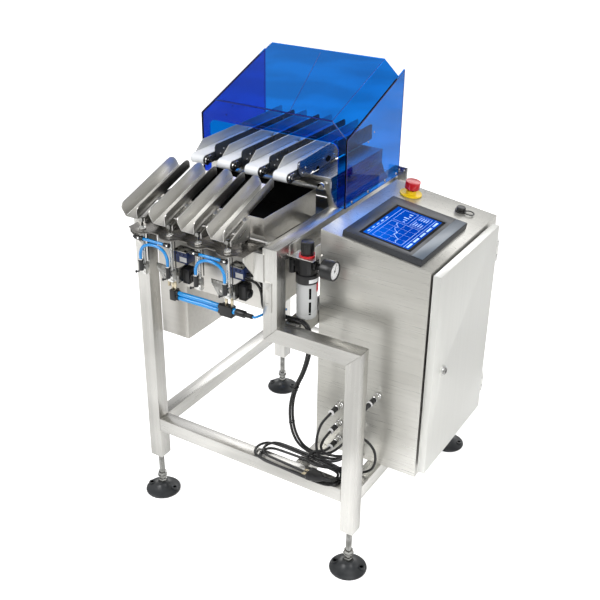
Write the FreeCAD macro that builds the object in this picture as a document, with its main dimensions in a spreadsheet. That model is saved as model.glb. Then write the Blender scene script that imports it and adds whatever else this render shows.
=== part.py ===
"""Four-lane checkweigher with tilting reject chutes.

Millimetres, +Z up. The chutes discharge towards -Y and the operator's cabinet
stands on the +X side. The origin is the centre of the underside of the front
left levelling foot.
"""
import FreeCAD
import Part
import math
import os
import re

import Sketcher
from FreeCAD import Placement, Rotation, Vector

os.makedirs("parts", exist_ok=True)
doc = FreeCAD.newDocument("checkweigher")

# Driving dimensions
DIMS = [
    ("tube", 40, "side of the square frame tube"),
    ("tube_wall", 2, "wall of the frame tube"),
    ("span_x", 625, "leg centres across the discharge end"),
    ("span_y", 660, "leg centres front to back"),
    ("leg_base", 131, "underside of the legs above the floor"),
    ("low_top", 265, "top of the low bars"),
    ("mid_top", 672, "top of the middle beams and of the right legs"),
    ("rail_top", 881, "top of the two deck rails"),
    ("post_x", 393, "centre of the posts and of the right rail"),
    ("mid_bar_x", 426, "centre of the middle bar beside the cabinet"),
    ("low_bar_x", 466, "centre of the low bar under the cabinet"),
    ("plug_thick", 12, "threaded plug in the foot of a leg"),
    ("foot_radius", 51, "levelling pad"),
    ("foot_rim", 7, "thickness of the pad at its rim"),
    ("foot_top", 25, "top of the pad's cone"),
    ("foot_collar", 16, "radius of the cone's top"),
    ("foot_boss", 7, "radius of the two bosses on a pad"),
    ("stud_radius", 8, "threaded stud of a levelling foot"),
    ("stud_nut", 13, "hexagon of the stud, corner radius"),
    ("nut_z", 50, "underside of the nut on a levelling stud"),
    ("gap", 0.3, "between pieces that rest on one another"),
    ("running", 0.08, "radial clearance of pins and rods"),
    ("sheet", 2, "folded stainless sheet"),
    ("lane_pitch", 86, "distance between lanes"),
    ("lane_first", 31, "centre of the first lane"),
    ("plate_top", 867, "top of the wavy cylinder plate"),
    ("plate_thick", 3, "cylinder plate"),
    ("plate_front", -67, "straight part of the wavy front edge"),
    ("plate_back", 32, "rear edge of the cylinder plate"),
    ("plate_left", 4, "left end of the cylinder plate"),
    ("plate_right", 348, "right end of the cylinder plate"),
    ("lobe_radius", 34, "lobe of the plate round each air cylinder"),
    ("gusset_low", 800, "lower corner of the side gussets"),
    ("flange_low", 715, "lower end of the flange on the right post"),
    ("flange_right", 399, "right edge of the flange on the right post"),
    ("flange_top", 794, "top of the flange on the right post"),
    ("screw_radius", 4, "button heads on the flanges"),
    ("chute_slope", 18.3, "slope of the chutes, degrees"),
    ("chute_length", 226, "length of a chute"),
    ("chute_floor", 38, "width of the chute floor"),
    ("chute_wall", 34, "height of the chute walls"),
    ("chute_lean", 7, "how far each wall leans outward"),
    ("chute_sheet", 1.5, "sheet of the chutes"),
    ("chute_front_y", -83, "front end of the chute floor"),
    ("chute_front_z", 901.5, "underside of the chute floor at its front end"),
    ("chute_nose", 12, "rounding of the walls' front corners"),
    ("chute_tail", 22, "rounding of the walls' rear corners"),
    ("pivot_y", 4, "chute hinge pin"),
    ("pivot_z", 885, "chute hinge pin"),
    ("pivot_radius", 4, "chute hinge pin"),
    ("bearing_width", 14, "bearing block of a chute"),
    ("bearing_depth", 24, "bearing block of a chute"),
    ("rod_y", -60, "air cylinder axis"),
    ("rod_z", 893, "cross pin of the rod end"),
    ("rod_shift", 12, "air cylinders stand right of the lane centre"),
    ("rod_radius", 3, "piston rod"),
    ("rod_pin", 2.5, "radius of the cross pin"),
    ("pin_play", 1.2, "slot of the lever either side of the cross pin"),
    ("cheek_shift", 25, "inner face of the lever from the lane centre"),
    ("cheek_thick", 3, "lever plate"),
    ("barrel_radius", 5, "air cylinder"),
    ("barrel_low", 776, "lower end of the barrel"),
    ("block_low", 746, "lower end of the cylinder's end block"),
    ("block_side", 15, "end block"),
    ("hose_radius", 4, "air tube of a cylinder"),
    ("arch_y", -75, "plane of the tubes that join two lower ports"),
    ("arch_foot", 790, "where an arched tube leaves its elbow"),
    ("upper_y", -71, "plane of the tubes that join two upper ports"),
    ("upper_z", 846, "height of the tubes that join two upper ports"),
    ("shelf_z", 731, "underside of the valve brackets"),
    ("shelf_front", -40, "front face of the valve brackets"),
    ("shelf_back", 30, "rear edge of the valve brackets"),
    ("lip_high", 772, "top of the front lip of a valve bracket"),
    ("valve_high", 803, "top of the blue valve bodies"),
    ("feed_radius", 6, "supply tube between the two valve brackets"),
    ("feed_low", 690, "height of the lower supply tube"),
    ("feed_high", 703, "height of the upper supply tube"),
    ("cable_radius", 3.5, "signal cables and mains lead"),
    ("belt_width", 40, "conveyor belt"),
    ("belt_top", 987, "carrying face of the belts"),
    ("belt_thick", 2, "belt"),
    ("nose_radius", 13, "outside of the belt round its end roller"),
    ("nose_y", 185, "front of the belts"),
    ("weigh_end", 440, "rear end of the weighing belts"),
    ("infeed_start", 448, "front end of the infeed belts"),
    ("infeed_end", 640, "rear end of the infeed belts"),
    ("belt_side", 0.8, "clearance beside a belt"),
    ("guide_thick", 2, "lane guide"),
    ("guide_rise", 24, "left guide above the belt"),
    ("guide_low", 959, "lower edge of the lane guides"),
    ("dark_rise", 17, "right guide above the belt"),
    ("dark_start", 238, "front edge of the right guide"),
    ("guide_start", 207, "front edge of the left guide"),
    ("guide_full", 244, "where the left guide reaches its full height"),
    ("beam_front_y", 290, "first transverse support plate"),
    ("beam_mid_y", 424, "second transverse support plate"),
    ("beam_rear_y", 575, "third transverse support plate"),
    ("beam_thick", 3, "transverse support plate"),
    ("beam_low", 922, "underside of the plate between its feet"),
    ("beam_over", 13, "how far the plate stops short of a rail's outer face"),
    ("shaft_radius", 5, "cross shaft"),
    ("shaft_z", 940, "cross shaft"),
    ("knob_radius", 9, "chrome knob on the cross shaft"),
    ("side_space", 2.7, "between the last lane's right guide and its outer side plate"),
    ("side_front", 234, "front end of the outer side plate"),
    ("side_back", 437, "rear end of the outer side plate"),
    ("side_low", 959, "lower edge of the outer side plate"),
    ("side_high", 1013, "upper edge of the outer side plate"),
    ("bin_left", 24, "reject bin"),
    ("bin_right", 340, "reject bin"),
    ("bin_front", 36, "reject bin"),
    ("bin_back", 282, "reject bin"),
    ("bin_low", 856, "underside of the reject bin"),
    ("bin_high", 926, "rim of the reject bin"),
    ("bin_bevel", 25, "bevel along the bin's foot"),
    ("carrier", 20, "bars under the bin"),
    ("drive_left", 22, "wide housing under the deck"),
    ("drive_right", 345, "wide housing under the deck"),
    ("drive_front", 60, "wide housing under the deck"),
    ("drive_back", 420, "wide housing under the deck"),
    ("drive_low", 665, "wide housing under the deck"),
    ("drive_high", 826, "wide housing under the deck"),
    ("box_left", -14, "box hanging at the left"),
    ("box_right", 76, "box hanging at the left"),
    ("box_back", 230, "box hanging at the left"),
    ("box_low", 504, "box hanging at the left"),
    ("hood_left", -32, "outside of the left hood wing"),
    ("hood_right", 420, "outside of the right hood wing"),
    ("hood_front", 296, "front plate of the hood"),
    ("hood_back", 608, "rear edge of the wings"),
    ("hood_lid_back", 560, "rear edge of the sloping lid"),
    ("hood_sheet", 4, "blue polycarbonate"),
    ("hood_shoulder", 1066, "lower end of the hood chamfers at the front"),
    ("hood_ridge", 1106, "ridge over the front plate"),
    ("hood_chamfer", 43, "width of the hood chamfers"),
    ("hood_rise", 20, "slope of the lid, degrees"),
    ("hood_leg", 22, "width of the front plate beside its opening"),
    ("hood_open_top", 1050, "top of the opening in the front plate"),
    ("hood_open_round", 18, "upper corners of the opening"),
    ("rear_plate_right", 448, "steel plate behind the right wing"),
    ("cab_left", 447, "cabinet body"),
    ("cab_width", 295, "cabinet body"),
    ("cab_front", 125, "cabinet body"),
    ("cab_depth", 417, "cabinet body"),
    ("cab_top", 894, "cabinet roof along its left edge"),
    ("cab_slope", 8, "fall of the cabinet roof, degrees"),
    ("cab_lip", 25, "frame left round the door opening"),
    ("door_gap", 6, "gasket gap behind the door"),
    ("door_thick", 20, "depth of the folded door"),
    ("door_depth", 370, "door, along Y"),
    ("door_low", 287, "lower edge of the door"),
    ("door_high", 846, "upper edge of the door"),
    ("hinge_inset", 6, "hinge axis from the door's outer face"),
    ("hinge_offset", 11, "hinge axis behind the door"),
    ("hinge_pin", 3, "radius of the hinge pins"),
    ("knuckle_radius", 6, "outside of the hinge knuckles"),
    ("knuckle_height", 20, "height of one knuckle"),
    ("hinge_low", 364, "middle of the lower hinge"),
    ("hinge_high", 770, "middle of the upper hinge"),
    ("lock_y", 183, "door lock"),
    ("lock_z", 569, "door lock"),
    ("lock_radius", 13, "rose of the door lock"),
    ("lock_stem", 5, "radius of the lock's stem"),
    ("hmi_depth", 271, "touch panel, along Y"),
    ("hmi_height", 213, "touch panel, down the slope"),
    ("hmi_thick", 17, "touch panel"),
    ("hmi_down", 56, "panel from the roof's upper edge"),
    ("hmi_in", 5, "panel from the cabinet's front"),
    ("bezel_up", 33, "frame above the screen"),
    ("bezel_down", 42, "frame below the screen"),
    ("bezel_near", 20, "frame at the screen's left"),
    ("bezel_far", 42, "frame at the screen's right"),
    ("stop_down", 72, "emergency stop from the roof's upper edge"),
    ("stop_y", 481, "emergency stop"),
    ("stop_disc", 30, "radius of the yellow disc"),
    ("stop_head", 20, "radius of the red head"),
    ("stop_neck", 9, "radius of the push stem"),
    ("stop_travel", 4, "how far the head can be pushed"),
    ("port_down", 216, "service port from the roof's upper edge"),
    ("port_y", 486, "service port"),
    ("reg_x", 449, "regulator axis"),
    ("reg_y", 60, "regulator axis"),
    ("bowl_low", 684, "bottom of the regulator bowl"),
    ("bowl_radius", 26, "regulator bowl"),
    ("reg_low", 782, "bottom of the regulator body"),
    ("reg_high", 846, "shoulder of the regulator under its bracket"),
    ("reg_radius", 28, "regulator body"),
    ("knob_high", 886, "top of the pressure knob"),
    ("gauge_radius", 25, "pressure gauge"),
    ("gauge_z", 826, "pressure gauge axis"),
    ("gauge_out", 46, "rear of the gauge from the regulator axis"),
    ("gauge_depth", 29, "pressure gauge"),
    ("plug_x", 516, "mains plug"),
    ("plug_y", -50, "mains plug"),
    ("coil_x", 461.5, "middle of the coiled mains lead"),
    ("coil_y", 10, "middle of the coiled mains lead"),
    ("coil_run", 87.5, "half of the straight run of a turn"),
    ("coil_bend", 34, "radius of a turn at its ends"),
    ("coil_spread", 13, "half width of the pile of turns"),
    ("coil_thick", 7, "half height of the pile of turns"),
]
NAMES = {name for name, value, note in DIMS}
sheet = doc.addObject("Spreadsheet::Sheet", "dims")
for row, (name, value, note) in enumerate(DIMS, start=2):
    sheet.set("A%d" % row, name)
    sheet.set("B%d" % row, str(value))
    sheet.set("C%d" % row, note)
    sheet.setAlias("B%d" % row, name)
doc.recompute()

LANES = range(4)
AXES = {"x": Vector(1, 0, 0), "y": Vector(0, 1, 0), "z": Vector(0, 0, 1)}
nodes = []


def cells(text):
    """Point the size names in an expression at the spreadsheet."""
    return re.sub(r"[a-z_][a-z0-9_]*",
                  lambda word: "dims." + word.group(0) if word.group(0) in NAMES else word.group(0),
                  str(text))


def dim(name):
    return float(sheet.get(name))


def bind(thing, **sizes):
    for name, text in sizes.items():
        thing.setExpression(name, cells(text))


def place(thing, x, y, z):
    for axis, text in zip("xyz", (x, y, z)):
        thing.setExpression("Placement.Base." + axis, cells(text))
    return thing


def block(x, y, z, dx, dy, dz):
    """A box from its lower left front corner and its three sides."""
    box = doc.addObject("Part::Box", "Block")
    bind(box, Length=dx, Width=dy, Height=dz)
    return place(box, x, y, z)


def bar(x, y, z, radius, length, along="z"):
    """A round bar whose foot is at the given point."""
    piece = doc.addObject("Part::Cylinder", "Bar")
    piece.Placement = Placement(Vector(), Rotation(AXES["z"], AXES[along]))
    bind(piece, Radius=radius, Height=length)
    return place(piece, x, y, z)


def hexagon(x, y, z, radius, length):
    nut = doc.addObject("Part::Prism", "Hexagon")
    nut.Polygon = 6
    bind(nut, Circumradius=radius, Height=length)
    return place(nut, x, y, z)


def join(*pieces):
    if len(pieces) == 1:
        return pieces[0]
    union = doc.addObject("Part::MultiFuse", "Join")
    union.Shapes = list(pieces)
    return union


def group(*pieces):
    union = doc.addObject("Part::Compound", "Group")
    union.Links = list(pieces)
    return union


def minus(base, *tools):
    cut = doc.addObject("Part::Cut", "Cut")
    cut.Base = base
    cut.Tool = tools[0] if len(tools) == 1 else join(*tools)
    return cut


def node(name, *pieces):
    """Keep a finished piece, or several like ones, as one named part of the machine."""
    thing = pieces[0] if len(pieces) == 1 else group(*pieces)
    thing.Label = name
    nodes.append(thing)
    return thing


def outline(body, role, points):
    """A closed outline on one of the body's origin planes, each corner bound to the sheet."""
    sketch = body.newObject("Sketcher::SketchObject", body.Name + "_outline")
    plane = next(f for f in body.Origin.OriginFeatures if f.Role == role)
    sketch.AttachmentSupport = [(plane, "")]
    sketch.MapMode = "FlatFace"
    count = len(points)
    start = [Vector(10 * math.cos(2 * math.pi * i / count), 10 * math.sin(2 * math.pi * i / count), 0)
             for i in range(count)]
    sketch.addGeometry([Part.LineSegment(start[i], start[(i + 1) % count]) for i in range(count)],
        False)
    sketch.addConstraint([Sketcher.Constraint("Coincident", i, 2, (i + 1) % count,
        1) for i in range(count)])
    for i, corner in enumerate(points):
        for kind, value, text in (("DistanceX", start[i].x, corner[0]),
            ("DistanceY", start[i].y, corner[1])):
            number = sketch.addConstraint(Sketcher.Constraint(kind, -1, 1, i, 1, value))
            sketch.setExpression("Constraints[%d]" % number, cells(text))
    return sketch


def padded(role, points, depth, x=0, y=0, z=0):
    """An outline given thickness: towards +X, +Y or +Z for the YZ, XZ and XY planes."""
    body = doc.addObject("PartDesign::Body", "Body")
    sketch = outline(body, role, points)
    pad = body.newObject("PartDesign::Pad", body.Name + "_pad")
    pad.Profile = sketch
    pad.Reversed = role == "XZ_Plane"
    bind(pad, Length=depth)
    return place(body, x, y, z)


def turned(points, x, y, z):
    """A solid of revolution about its own Z axis from (radius, height) corners."""
    body = doc.addObject("PartDesign::Body", "Body")
    sketch = outline(body, "XZ_Plane", points)
    spin = body.newObject("PartDesign::Revolution", body.Name + "_spin")
    spin.Profile = sketch
    spin.ReferenceAxis = (sketch, ["V_Axis"])
    spin.Angle = 360
    return place(body, x, y, z)


def round_corners(body, corners, radius):
    """Round the upright edges on the numbered corners of a padded outline."""
    doc.recompute()
    sketch, pad = body.Group[0], body.Tip
    direction = sketch.Placement.Rotation.multVec(Vector(0, 0, 1))
    marks = [sketch.Placement.multVec(sketch.Geometry[i].StartPoint) for i in corners]
    names = []
    for number, edge in enumerate(pad.Shape.Edges, 1):
        ends = [v.Point for v in edge.Vertexes]
        if any(all((end - mark).cross(direction).Length < 0.001 for end in ends) for mark in marks):
            names.append("Edge%d" % number)
    soft = body.newObject("PartDesign::Fillet", body.Name + "_round")
    soft.Base = (pad, names)
    bind(soft, Radius=radius)
    body.Tip = soft
    return body


def lane_x(number, shift="0"):
    return "lane_first + %d * lane_pitch + %s" % (number, shift)


def hose(route, radius):
    """A tube along straight runs joined by tangent arcs, for a pipe or a cable."""
    points = [Vector(*p) for p in route]
    edges = []
    here = points[0]
    length = 0
    for before, corner, after in zip(points, points[1:], points[2:]):
        inward = (corner - before).normalize()
        onward = (after - corner).normalize()
        turn = math.acos(max(-1, min(1, inward.dot(onward))))
        shorter = min((corner - before).Length, (after - corner).Length)
        bend = 0.45 * shorter / math.tan(turn / 2)
        reach = bend * math.tan(turn / 2)
        enter = corner - inward * reach
        leave = corner + onward * reach
        centre_line = (onward - inward).normalize()
        middle = corner + centre_line * (bend / math.cos(turn / 2) - bend)
        edges.append(Part.LineSegment(here, enter).toShape())
        edges.append(Part.Arc(enter, middle, leave).toShape())
        length += (enter - here).Length + bend * turn
        here = leave
        print("radius %.1f" % bend, "diameters %.1f" % (bend / radius / 2))
    edges.append(Part.LineSegment(here, points[-1]).toShape())
    length += (points[-1] - here).Length
    path = Part.Wire(edges)
    ring = Part.Wire(Part.Circle(points[0], points[1] - points[0], radius).toShape())
    tube = path.makePipeShell([ring], True, False)
    wanted = math.pi * radius ** 2 * length
    if abs(tube.Volume / wanted - 1) > 0.01:
        raise RuntimeError("hose volume %.0f, wanted %.0f" % (tube.Volume, wanted))
    print("hose length %.0f" % length)
    piece = doc.addObject("Part::Feature", "Hose")
    piece.Shape = tube
    return piece


# Frame
def square_tube(x, y, z, length, along):
    """A straight length of frame tube from its lower left front corner."""
    outer = {"x": (length, "tube", "tube"), "y": ("tube", length, "tube"),
        "z": ("tube", "tube", length)}[along]
    shift = {axis: "0" if axis == along else "tube_wall" for axis in "xyz"}
    inner = [size if axis == along else size + " - 2 * tube_wall" for axis, size in zip("xyz", outer)]
    hole = block("%s + %s" % (x, shift["x"]), "%s + %s" % (y, shift["y"]), "%s + %s" % (z, shift["z"]),
        *inner)
    return minus(block(x, y, z, *outer), hole)


def mitred(role, corner, depth_at):
    """Frame tube with slanted ends: corner(inset) gives its outline at a depth inside the skin."""
    skin = padded(role, corner("0"), "tube", **{depth_at[0]: depth_at[1]})
    core = padded(role, corner("tube_wall"), "tube - 2 * tube_wall",
        **{depth_at[0]: depth_at[1] + " + tube_wall"})
    return minus(skin, core)


def left_leg(y, inward):
    """A left leg, cut at 45 degrees under the end of the left rail."""
    def corner(inset):
        outer = "%s - %d * (tube / 2 - %s)" % (y, inward, inset)
        inner = "%s + %d * (tube / 2 - %s)" % (y, inward, inset)
        return [(outer, "leg_base"), (inner, "leg_base"),
                (inner, "rail_top - tube + " + inset), (outer, "rail_top - " + inset)]
    return mitred("YZ_Plane", corner, ("x", "-tube / 2"))


def right_leg(y):
    """A right leg, cut at 45 degrees under the end of a middle beam."""
    def corner(inset):
        inner = "span_x - tube / 2 + " + inset
        outer = "span_x + tube / 2 - " + inset
        return [(inner, "leg_base"), (outer, "leg_base"),
                (outer, "mid_top - " + inset), (inner, "mid_top - tube + " + inset)]
    return mitred("XZ_Plane", corner, ("y", "%s - tube / 2" % y))


def post(y, inward):
    """A post cut at 45 degrees at its top for the right rail and at its foot for a middle beam."""
    def corner(inset):
        outer = "%s - %d * (tube / 2 - %s)" % (y, inward, inset)
        inner = "%s + %d * (tube / 2 - %s)" % (y, inward, inset)
        return [(outer, "mid_top - tube"), (inner, "mid_top - tube"),
                (inner, "rail_top - tube + " + inset), (outer, "rail_top - " + inset)]
    wedge = [("post_x - tube / 2", "mid_top - tube"), ("post_x + tube / 2", "mid_top - tube"),
             ("post_x + tube / 2", "mid_top")]
    return minus(mitred("YZ_Plane", corner, ("x", "post_x - tube / 2")),
                 padded("XZ_Plane", wedge, "tube", y="%s - tube / 2" % y))


def rail(x):
    def corner(inset):
        return [("-tube / 2 + " + inset, "rail_top - " + inset),
            ("tube / 2 - " + inset, "rail_top - tube + " + inset),
                ("span_y - tube / 2 + " + inset, "rail_top - tube + " + inset),
                ("span_y + tube / 2 - " + inset, "rail_top - " + inset)]
    return mitred("YZ_Plane", corner, ("x", x + " - tube / 2"))


def middle_beam(y):
    def corner(inset):
        return [("post_x + tube / 2 - " + inset, "mid_top - " + inset),
                ("post_x - tube / 2 + " + inset, "mid_top - tube + " + inset),
                ("span_x - tube / 2 + " + inset, "mid_top - tube + " + inset),
                ("span_x + tube / 2 - " + inset, "mid_top - " + inset)]
    return mitred("XZ_Plane", corner, ("y", "%s - tube / 2" % y))


def leg_plug(x, y):
    """The threaded plug welded into a leg's foot."""
    side = "tube - 2 * tube_wall"
    plug = block("%s - tube / 2 + tube_wall" % x, "%s - tube / 2 + tube_wall" % y, "leg_base", side,
        side, "plug_thick")
    return minus(plug, bar(x, y, "leg_base", "stud_radius + running", "plug_thick"))


CORNERS = [("0", "0"), ("0", "span_y"), ("span_x", "0"), ("span_x", "span_y")]
tubes = [left_leg("0", 1), left_leg("span_y", -1), right_leg("0"), right_leg("span_y")]
node("legs", *[join(leg, leg_plug(x, y)) for leg, (x, y) in zip(tubes, CORNERS)])
across = "span_x - tube"
low = "low_top - tube"
node("cross_beams", middle_beam("0"), middle_beam("span_y"),
     square_tube("tube / 2", "-tube / 2", low, across, "x"),
     square_tube("tube / 2", "span_y - tube / 2", low, across, "x"))
along_y = "span_y - tube"
node("side_beams",
     square_tube("-tube / 2", "tube / 2", low, along_y, "y"),
     square_tube("span_x - tube / 2", "tube / 2", low, along_y, "y"),
     square_tube("low_bar_x - tube / 2", "tube / 2", low, along_y, "y"),
     square_tube("mid_bar_x - tube / 2", "tube / 2", "mid_top - tube", along_y, "y"))
node("posts", post("0", 1), post("span_y", -1))
node("deck_rails", rail("0"), rail("post_x"))

# Levelling feet
rim = [("0", "0"), ("foot_radius", "0"), ("foot_radius", "foot_rim"), ("foot_collar", "foot_top"),
       ("foot_collar", "foot_top + 3"), ("0", "foot_top + 3")]
pads = []
spindles = []
for x, y in CORNERS:
    socket = bar(x, y, "foot_top - 3", "stud_radius + running", "8")
    bosses = [bar("%s %s (foot_radius - 15)" % (x, side), "%s %s 8" % (y, side), "foot_rim - 3",
        "foot_boss", "12")
              for side in "+-"]
    pads.append(minus(join(turned(rim, x, y, "0"), *bosses), socket))
    stud = bar(x, y, "foot_top - 3 + gap", "stud_radius", "leg_base + plug_thick - foot_top")
    collar = hexagon(x, y, "foot_top + 3 + gap", "stud_nut - 1", "11")
    lock_nut = join(hexagon(x, y, "nut_z", "stud_nut", "12"), bar(x, y, "nut_z", "stud_nut + 1", "3"))
    spindles.append(join(stud, collar, lock_nut))
node("levelling_pads", *pads)
node("levelling_spindles", *spindles)

# Cylinder plate with a lobe round each air cylinder
front_part = block("plate_left", "plate_front", "plate_top - plate_thick",
                   "plate_right - plate_left", "-plate_front - tube / 2 - gap", "plate_thick")
rear_part = block("tube / 2 + gap", "-tube / 2 - 2", "plate_top - plate_thick",
                  "plate_right - tube / 2 - gap", "plate_back + tube / 2 + 2", "plate_thick")
lobes = [bar(lane_x(n, "rod_shift"), "rod_y + 10", "plate_top - plate_thick", "lobe_radius",
    "plate_thick")
         for n in LANES]
holes = [bar(lane_x(n, "rod_shift"), "rod_y", "plate_top - plate_thick", "5 + gap",
    "plate_thick") for n in LANES]
node("cylinder_plate", minus(join(front_part, rear_part, *lobes), *holes))


def gusset(x, thick):
    side = [("plate_front + 4", "plate_top - plate_thick - gap"),
        ("plate_front + 4", "plate_top - plate_thick - 12"),
            ("-tube / 2 - gap", "gusset_low"), ("-tube / 2 - gap", "plate_top - plate_thick - gap")]
    return padded("YZ_Plane", side, thick, x=x)


right_flange = block("post_x - tube / 2 + 2", "-tube / 2 - gap - sheet", "flange_low",
                     "flange_right - post_x + tube / 2 - 2", "sheet", "flange_top - flange_low")
right_strip = block("plate_right", "-tube / 2 - gap - sheet", "flange_top - 4",
                    "post_x - tube / 2 + 4 - plate_right", "sheet", "plate_top - plate_thick - gap - flange_top + 4")
left_flange = block("plate_left - 16", "-tube / 2 - gap - sheet", "gusset_low",
                    "18", "sheet", "plate_top - plate_thick - gap - gusset_low")
screws = [bar("post_x - 6", "-tube / 2 - gap - sheet - 3", z, "screw_radius", "3", "y")
          for z in ("flange_low + 20", "flange_top - 20")]
node("plate_gussets", join(gusset("plate_right - sheet", "sheet"), right_flange, right_strip, *screws),
     join(gusset("plate_left", "sheet"), left_flange))


# Chutes: folded trough, slotted lever plate and the pins that carry it
def floor_under(y):
    return "chute_front_z + (%s - chute_front_y) * tan(chute_slope)" % y


def trough(x):
    half = "chute_floor / 2"
    spread = "chute_floor / 2 + chute_lean"
    thick = "chute_sheet"
    points = [("-" + half, "0"), (half, "0"), (spread, "chute_wall"),
        (spread + " - " + thick, "chute_wall"),
              (half + " - " + thick, thick), ("-%s + %s" % (half, thick), thick),
              ("-(%s) + %s" % (spread, thick), "chute_wall"), ("-(%s)" % spread, "chute_wall")]
    side = [("0", "0"), ("chute_length", "0"), ("chute_length", "chute_wall"), ("0", "chute_wall")]
    envelope = padded("YZ_Plane", side, "2 * (%s) + 2" % spread)
    round_corners(envelope, (2,), "chute_tail")
    round_corners(envelope, (3,), "chute_nose")
    folded = doc.addObject("Part::Common", "Folded")
    folded.Base = on_slope(padded("XZ_Plane", points, "chute_length"), x)
    folded.Tool = on_slope(envelope, "%s - (%s) - 1" % (x, spread))
    return folded


def on_slope(body, x):
    """Tip a body to the slope of the chutes about the front edge of their floor."""
    body.Placement = Placement(Vector(), Rotation(AXES["x"], 18))
    body.setExpression("Placement.Rotation.Angle", cells("chute_slope"))
    return place(body, x, "chute_front_y", "chute_front_z")


def lever(n):
    """The slotted plate beside a chute, from its hinge pin forward to the rod end."""
    inside = lane_x(n, "cheek_shift")
    plate = [("rod_y - 7", "rod_z - 6"), ("pivot_y + 6", "pivot_z - 7"), ("pivot_y + 9", "pivot_z"),
             ("pivot_y + 9", floor_under("pivot_y + 9") + " + 1"), ("pivot_y - 9",
                 floor_under("pivot_y - 9") + " + 1"),
             ("rod_y - 7", "rod_z + 8")]
    cheek = padded("YZ_Plane", plate, "cheek_thick", x=inside)
    slot_y = "rod_y + 18"
    long_slot = padded("YZ_Plane", [(slot_y, "rod_z + 5"), ("pivot_y - 8", "rod_z + 20"),
                                    ("pivot_y - 5", "rod_z + 15"), (slot_y + " + 3",
                                        "rod_z")], "cheek_thick", x=inside)
    pin_slot = block(inside, "rod_y - rod_pin - pin_play", "rod_z - rod_pin - 0.25",
                     "cheek_thick", "2 * (rod_pin + pin_play)", "2 * rod_pin + 0.5")
    tab = block(lane_x(n, "-chute_floor / 2 + 3"), "pivot_y - 9", floor_under("pivot_y - 9") + " - 1.4",
                "chute_floor / 2 - 3 + cheek_shift + cheek_thick", "18", "2")
    pin = bar(lane_x(n, "rod_shift - bearing_width / 2 - 3"), "pivot_y", "pivot_z", "pivot_radius",
              "cheek_shift - rod_shift + cheek_thick + bearing_width / 2 + 5", "x")
    return join(minus(cheek, long_slot, pin_slot), tab, pin)


for n in LANES:
    node("chute_%d" % (n + 1), join(trough(lane_x(n)), lever(n)))
bearings = []
for n in LANES:
    side = lane_x(n, "rod_shift - bearing_width / 2")
    foot = block(side, "pivot_y - bearing_depth / 2", "plate_top + gap", "bearing_width",
        "bearing_depth",
                 "pivot_z - plate_top - gap")
    crown = bar(side, "pivot_y", "pivot_z", "8", "bearing_width", "x")
    bore = bar(side, "pivot_y", "pivot_z", "pivot_radius + running", "bearing_width", "x")
    bearings.append(minus(join(foot, crown), bore))
node("chute_bearings", *bearings)

# Air cylinders and their rod ends
cylinders = []
for n in LANES:
    x = lane_x(n, "rod_shift")
    under = "plate_top - plate_thick - gap"
    barrel = bar(x, "rod_y", "barrel_low", "barrel_radius", under + " - barrel_low")
    neck = bar(x, "rod_y", "barrel_low", "barrel_radius - 0.5", "plate_top + 8 - barrel_low")
    nut = hexagon(x, "rod_y", "plate_top + gap", "9", "5")
    end = block("%s - block_side / 2" % x, "rod_y - block_side / 2", "block_low",
                "block_side", "block_side", "barrel_low - block_low")
    bore = bar(x, "rod_y", "barrel_low + 6", "rod_radius + running", "plate_top + 8 - barrel_low")
    cylinders.append(minus(join(barrel, neck, nut, end), bore))
    stem = bar(x, "rod_y", "barrel_low + 20", "rod_radius", "rod_z - barrel_low - 20")
    eye = block("%s - 5" % x, "rod_y - 5", "rod_z - 4.5", "10", "10", "10")
    cross_pin = bar(x, "rod_y", "rod_z", "rod_pin", "cheek_shift - rod_shift + cheek_thick + 2", "x")
    node("cylinder_rod_%d" % (n + 1), join(stem, eye, cross_pin))
node("air_cylinders", *cylinders)

# Elbows, manifolds, valves and tubes below the plate
def lower_elbow(axis):
    """A push-in elbow on the front of an end block, turned up to the arched tube."""
    stub = bar(axis, "arch_y", "block_low + 20", "5", "rod_y - block_side / 2 - gap - arch_y", "y")
    riser = bar(axis, "arch_y", "block_low + 14", "6", "arch_foot - gap - block_low - 14")
    ring = bar(axis, "arch_y", "arch_foot - gap - 4", "7", "4")
    return join(stub, riser, ring)


fittings = []
for n in LANES:
    axis = lane_x(n, "rod_shift")
    fittings.append(lower_elbow(axis))
    stub = bar(axis, "upper_y", "upper_z", "4", "rod_y - barrel_radius - gap - upper_y", "y")
    if n % 2:
        sleeve = bar(axis + " - 11", "upper_y", "upper_z", "5.5", "16", "x")
        fittings.append(join(stub, sleeve))
    else:
        sleeve = bar(axis + " - 16", "upper_y", "upper_z", "5.5", "26", "x")
        knob = bar(axis + " - 22", "upper_y", "upper_z", "3", "6", "x")
        fittings.append(join(stub, sleeve, knob))
FIRST = lane_x(1, "rod_shift")
LAST = lane_x(3, "rod_shift")
feed_y = "shelf_front"


def manifold(left, width, sleeves):
    """A black block under a valve bracket with a sleeve for each supply tube."""
    core = block(left, feed_y + " - 10", "feed_low - 7", width, "20", "shelf_z - 20 - feed_low + 7")
    return join(core, *[bar(x, feed_y, z, "8", "6", "x") for x in sleeves for z in ("feed_low",
        "feed_high")])


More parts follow.
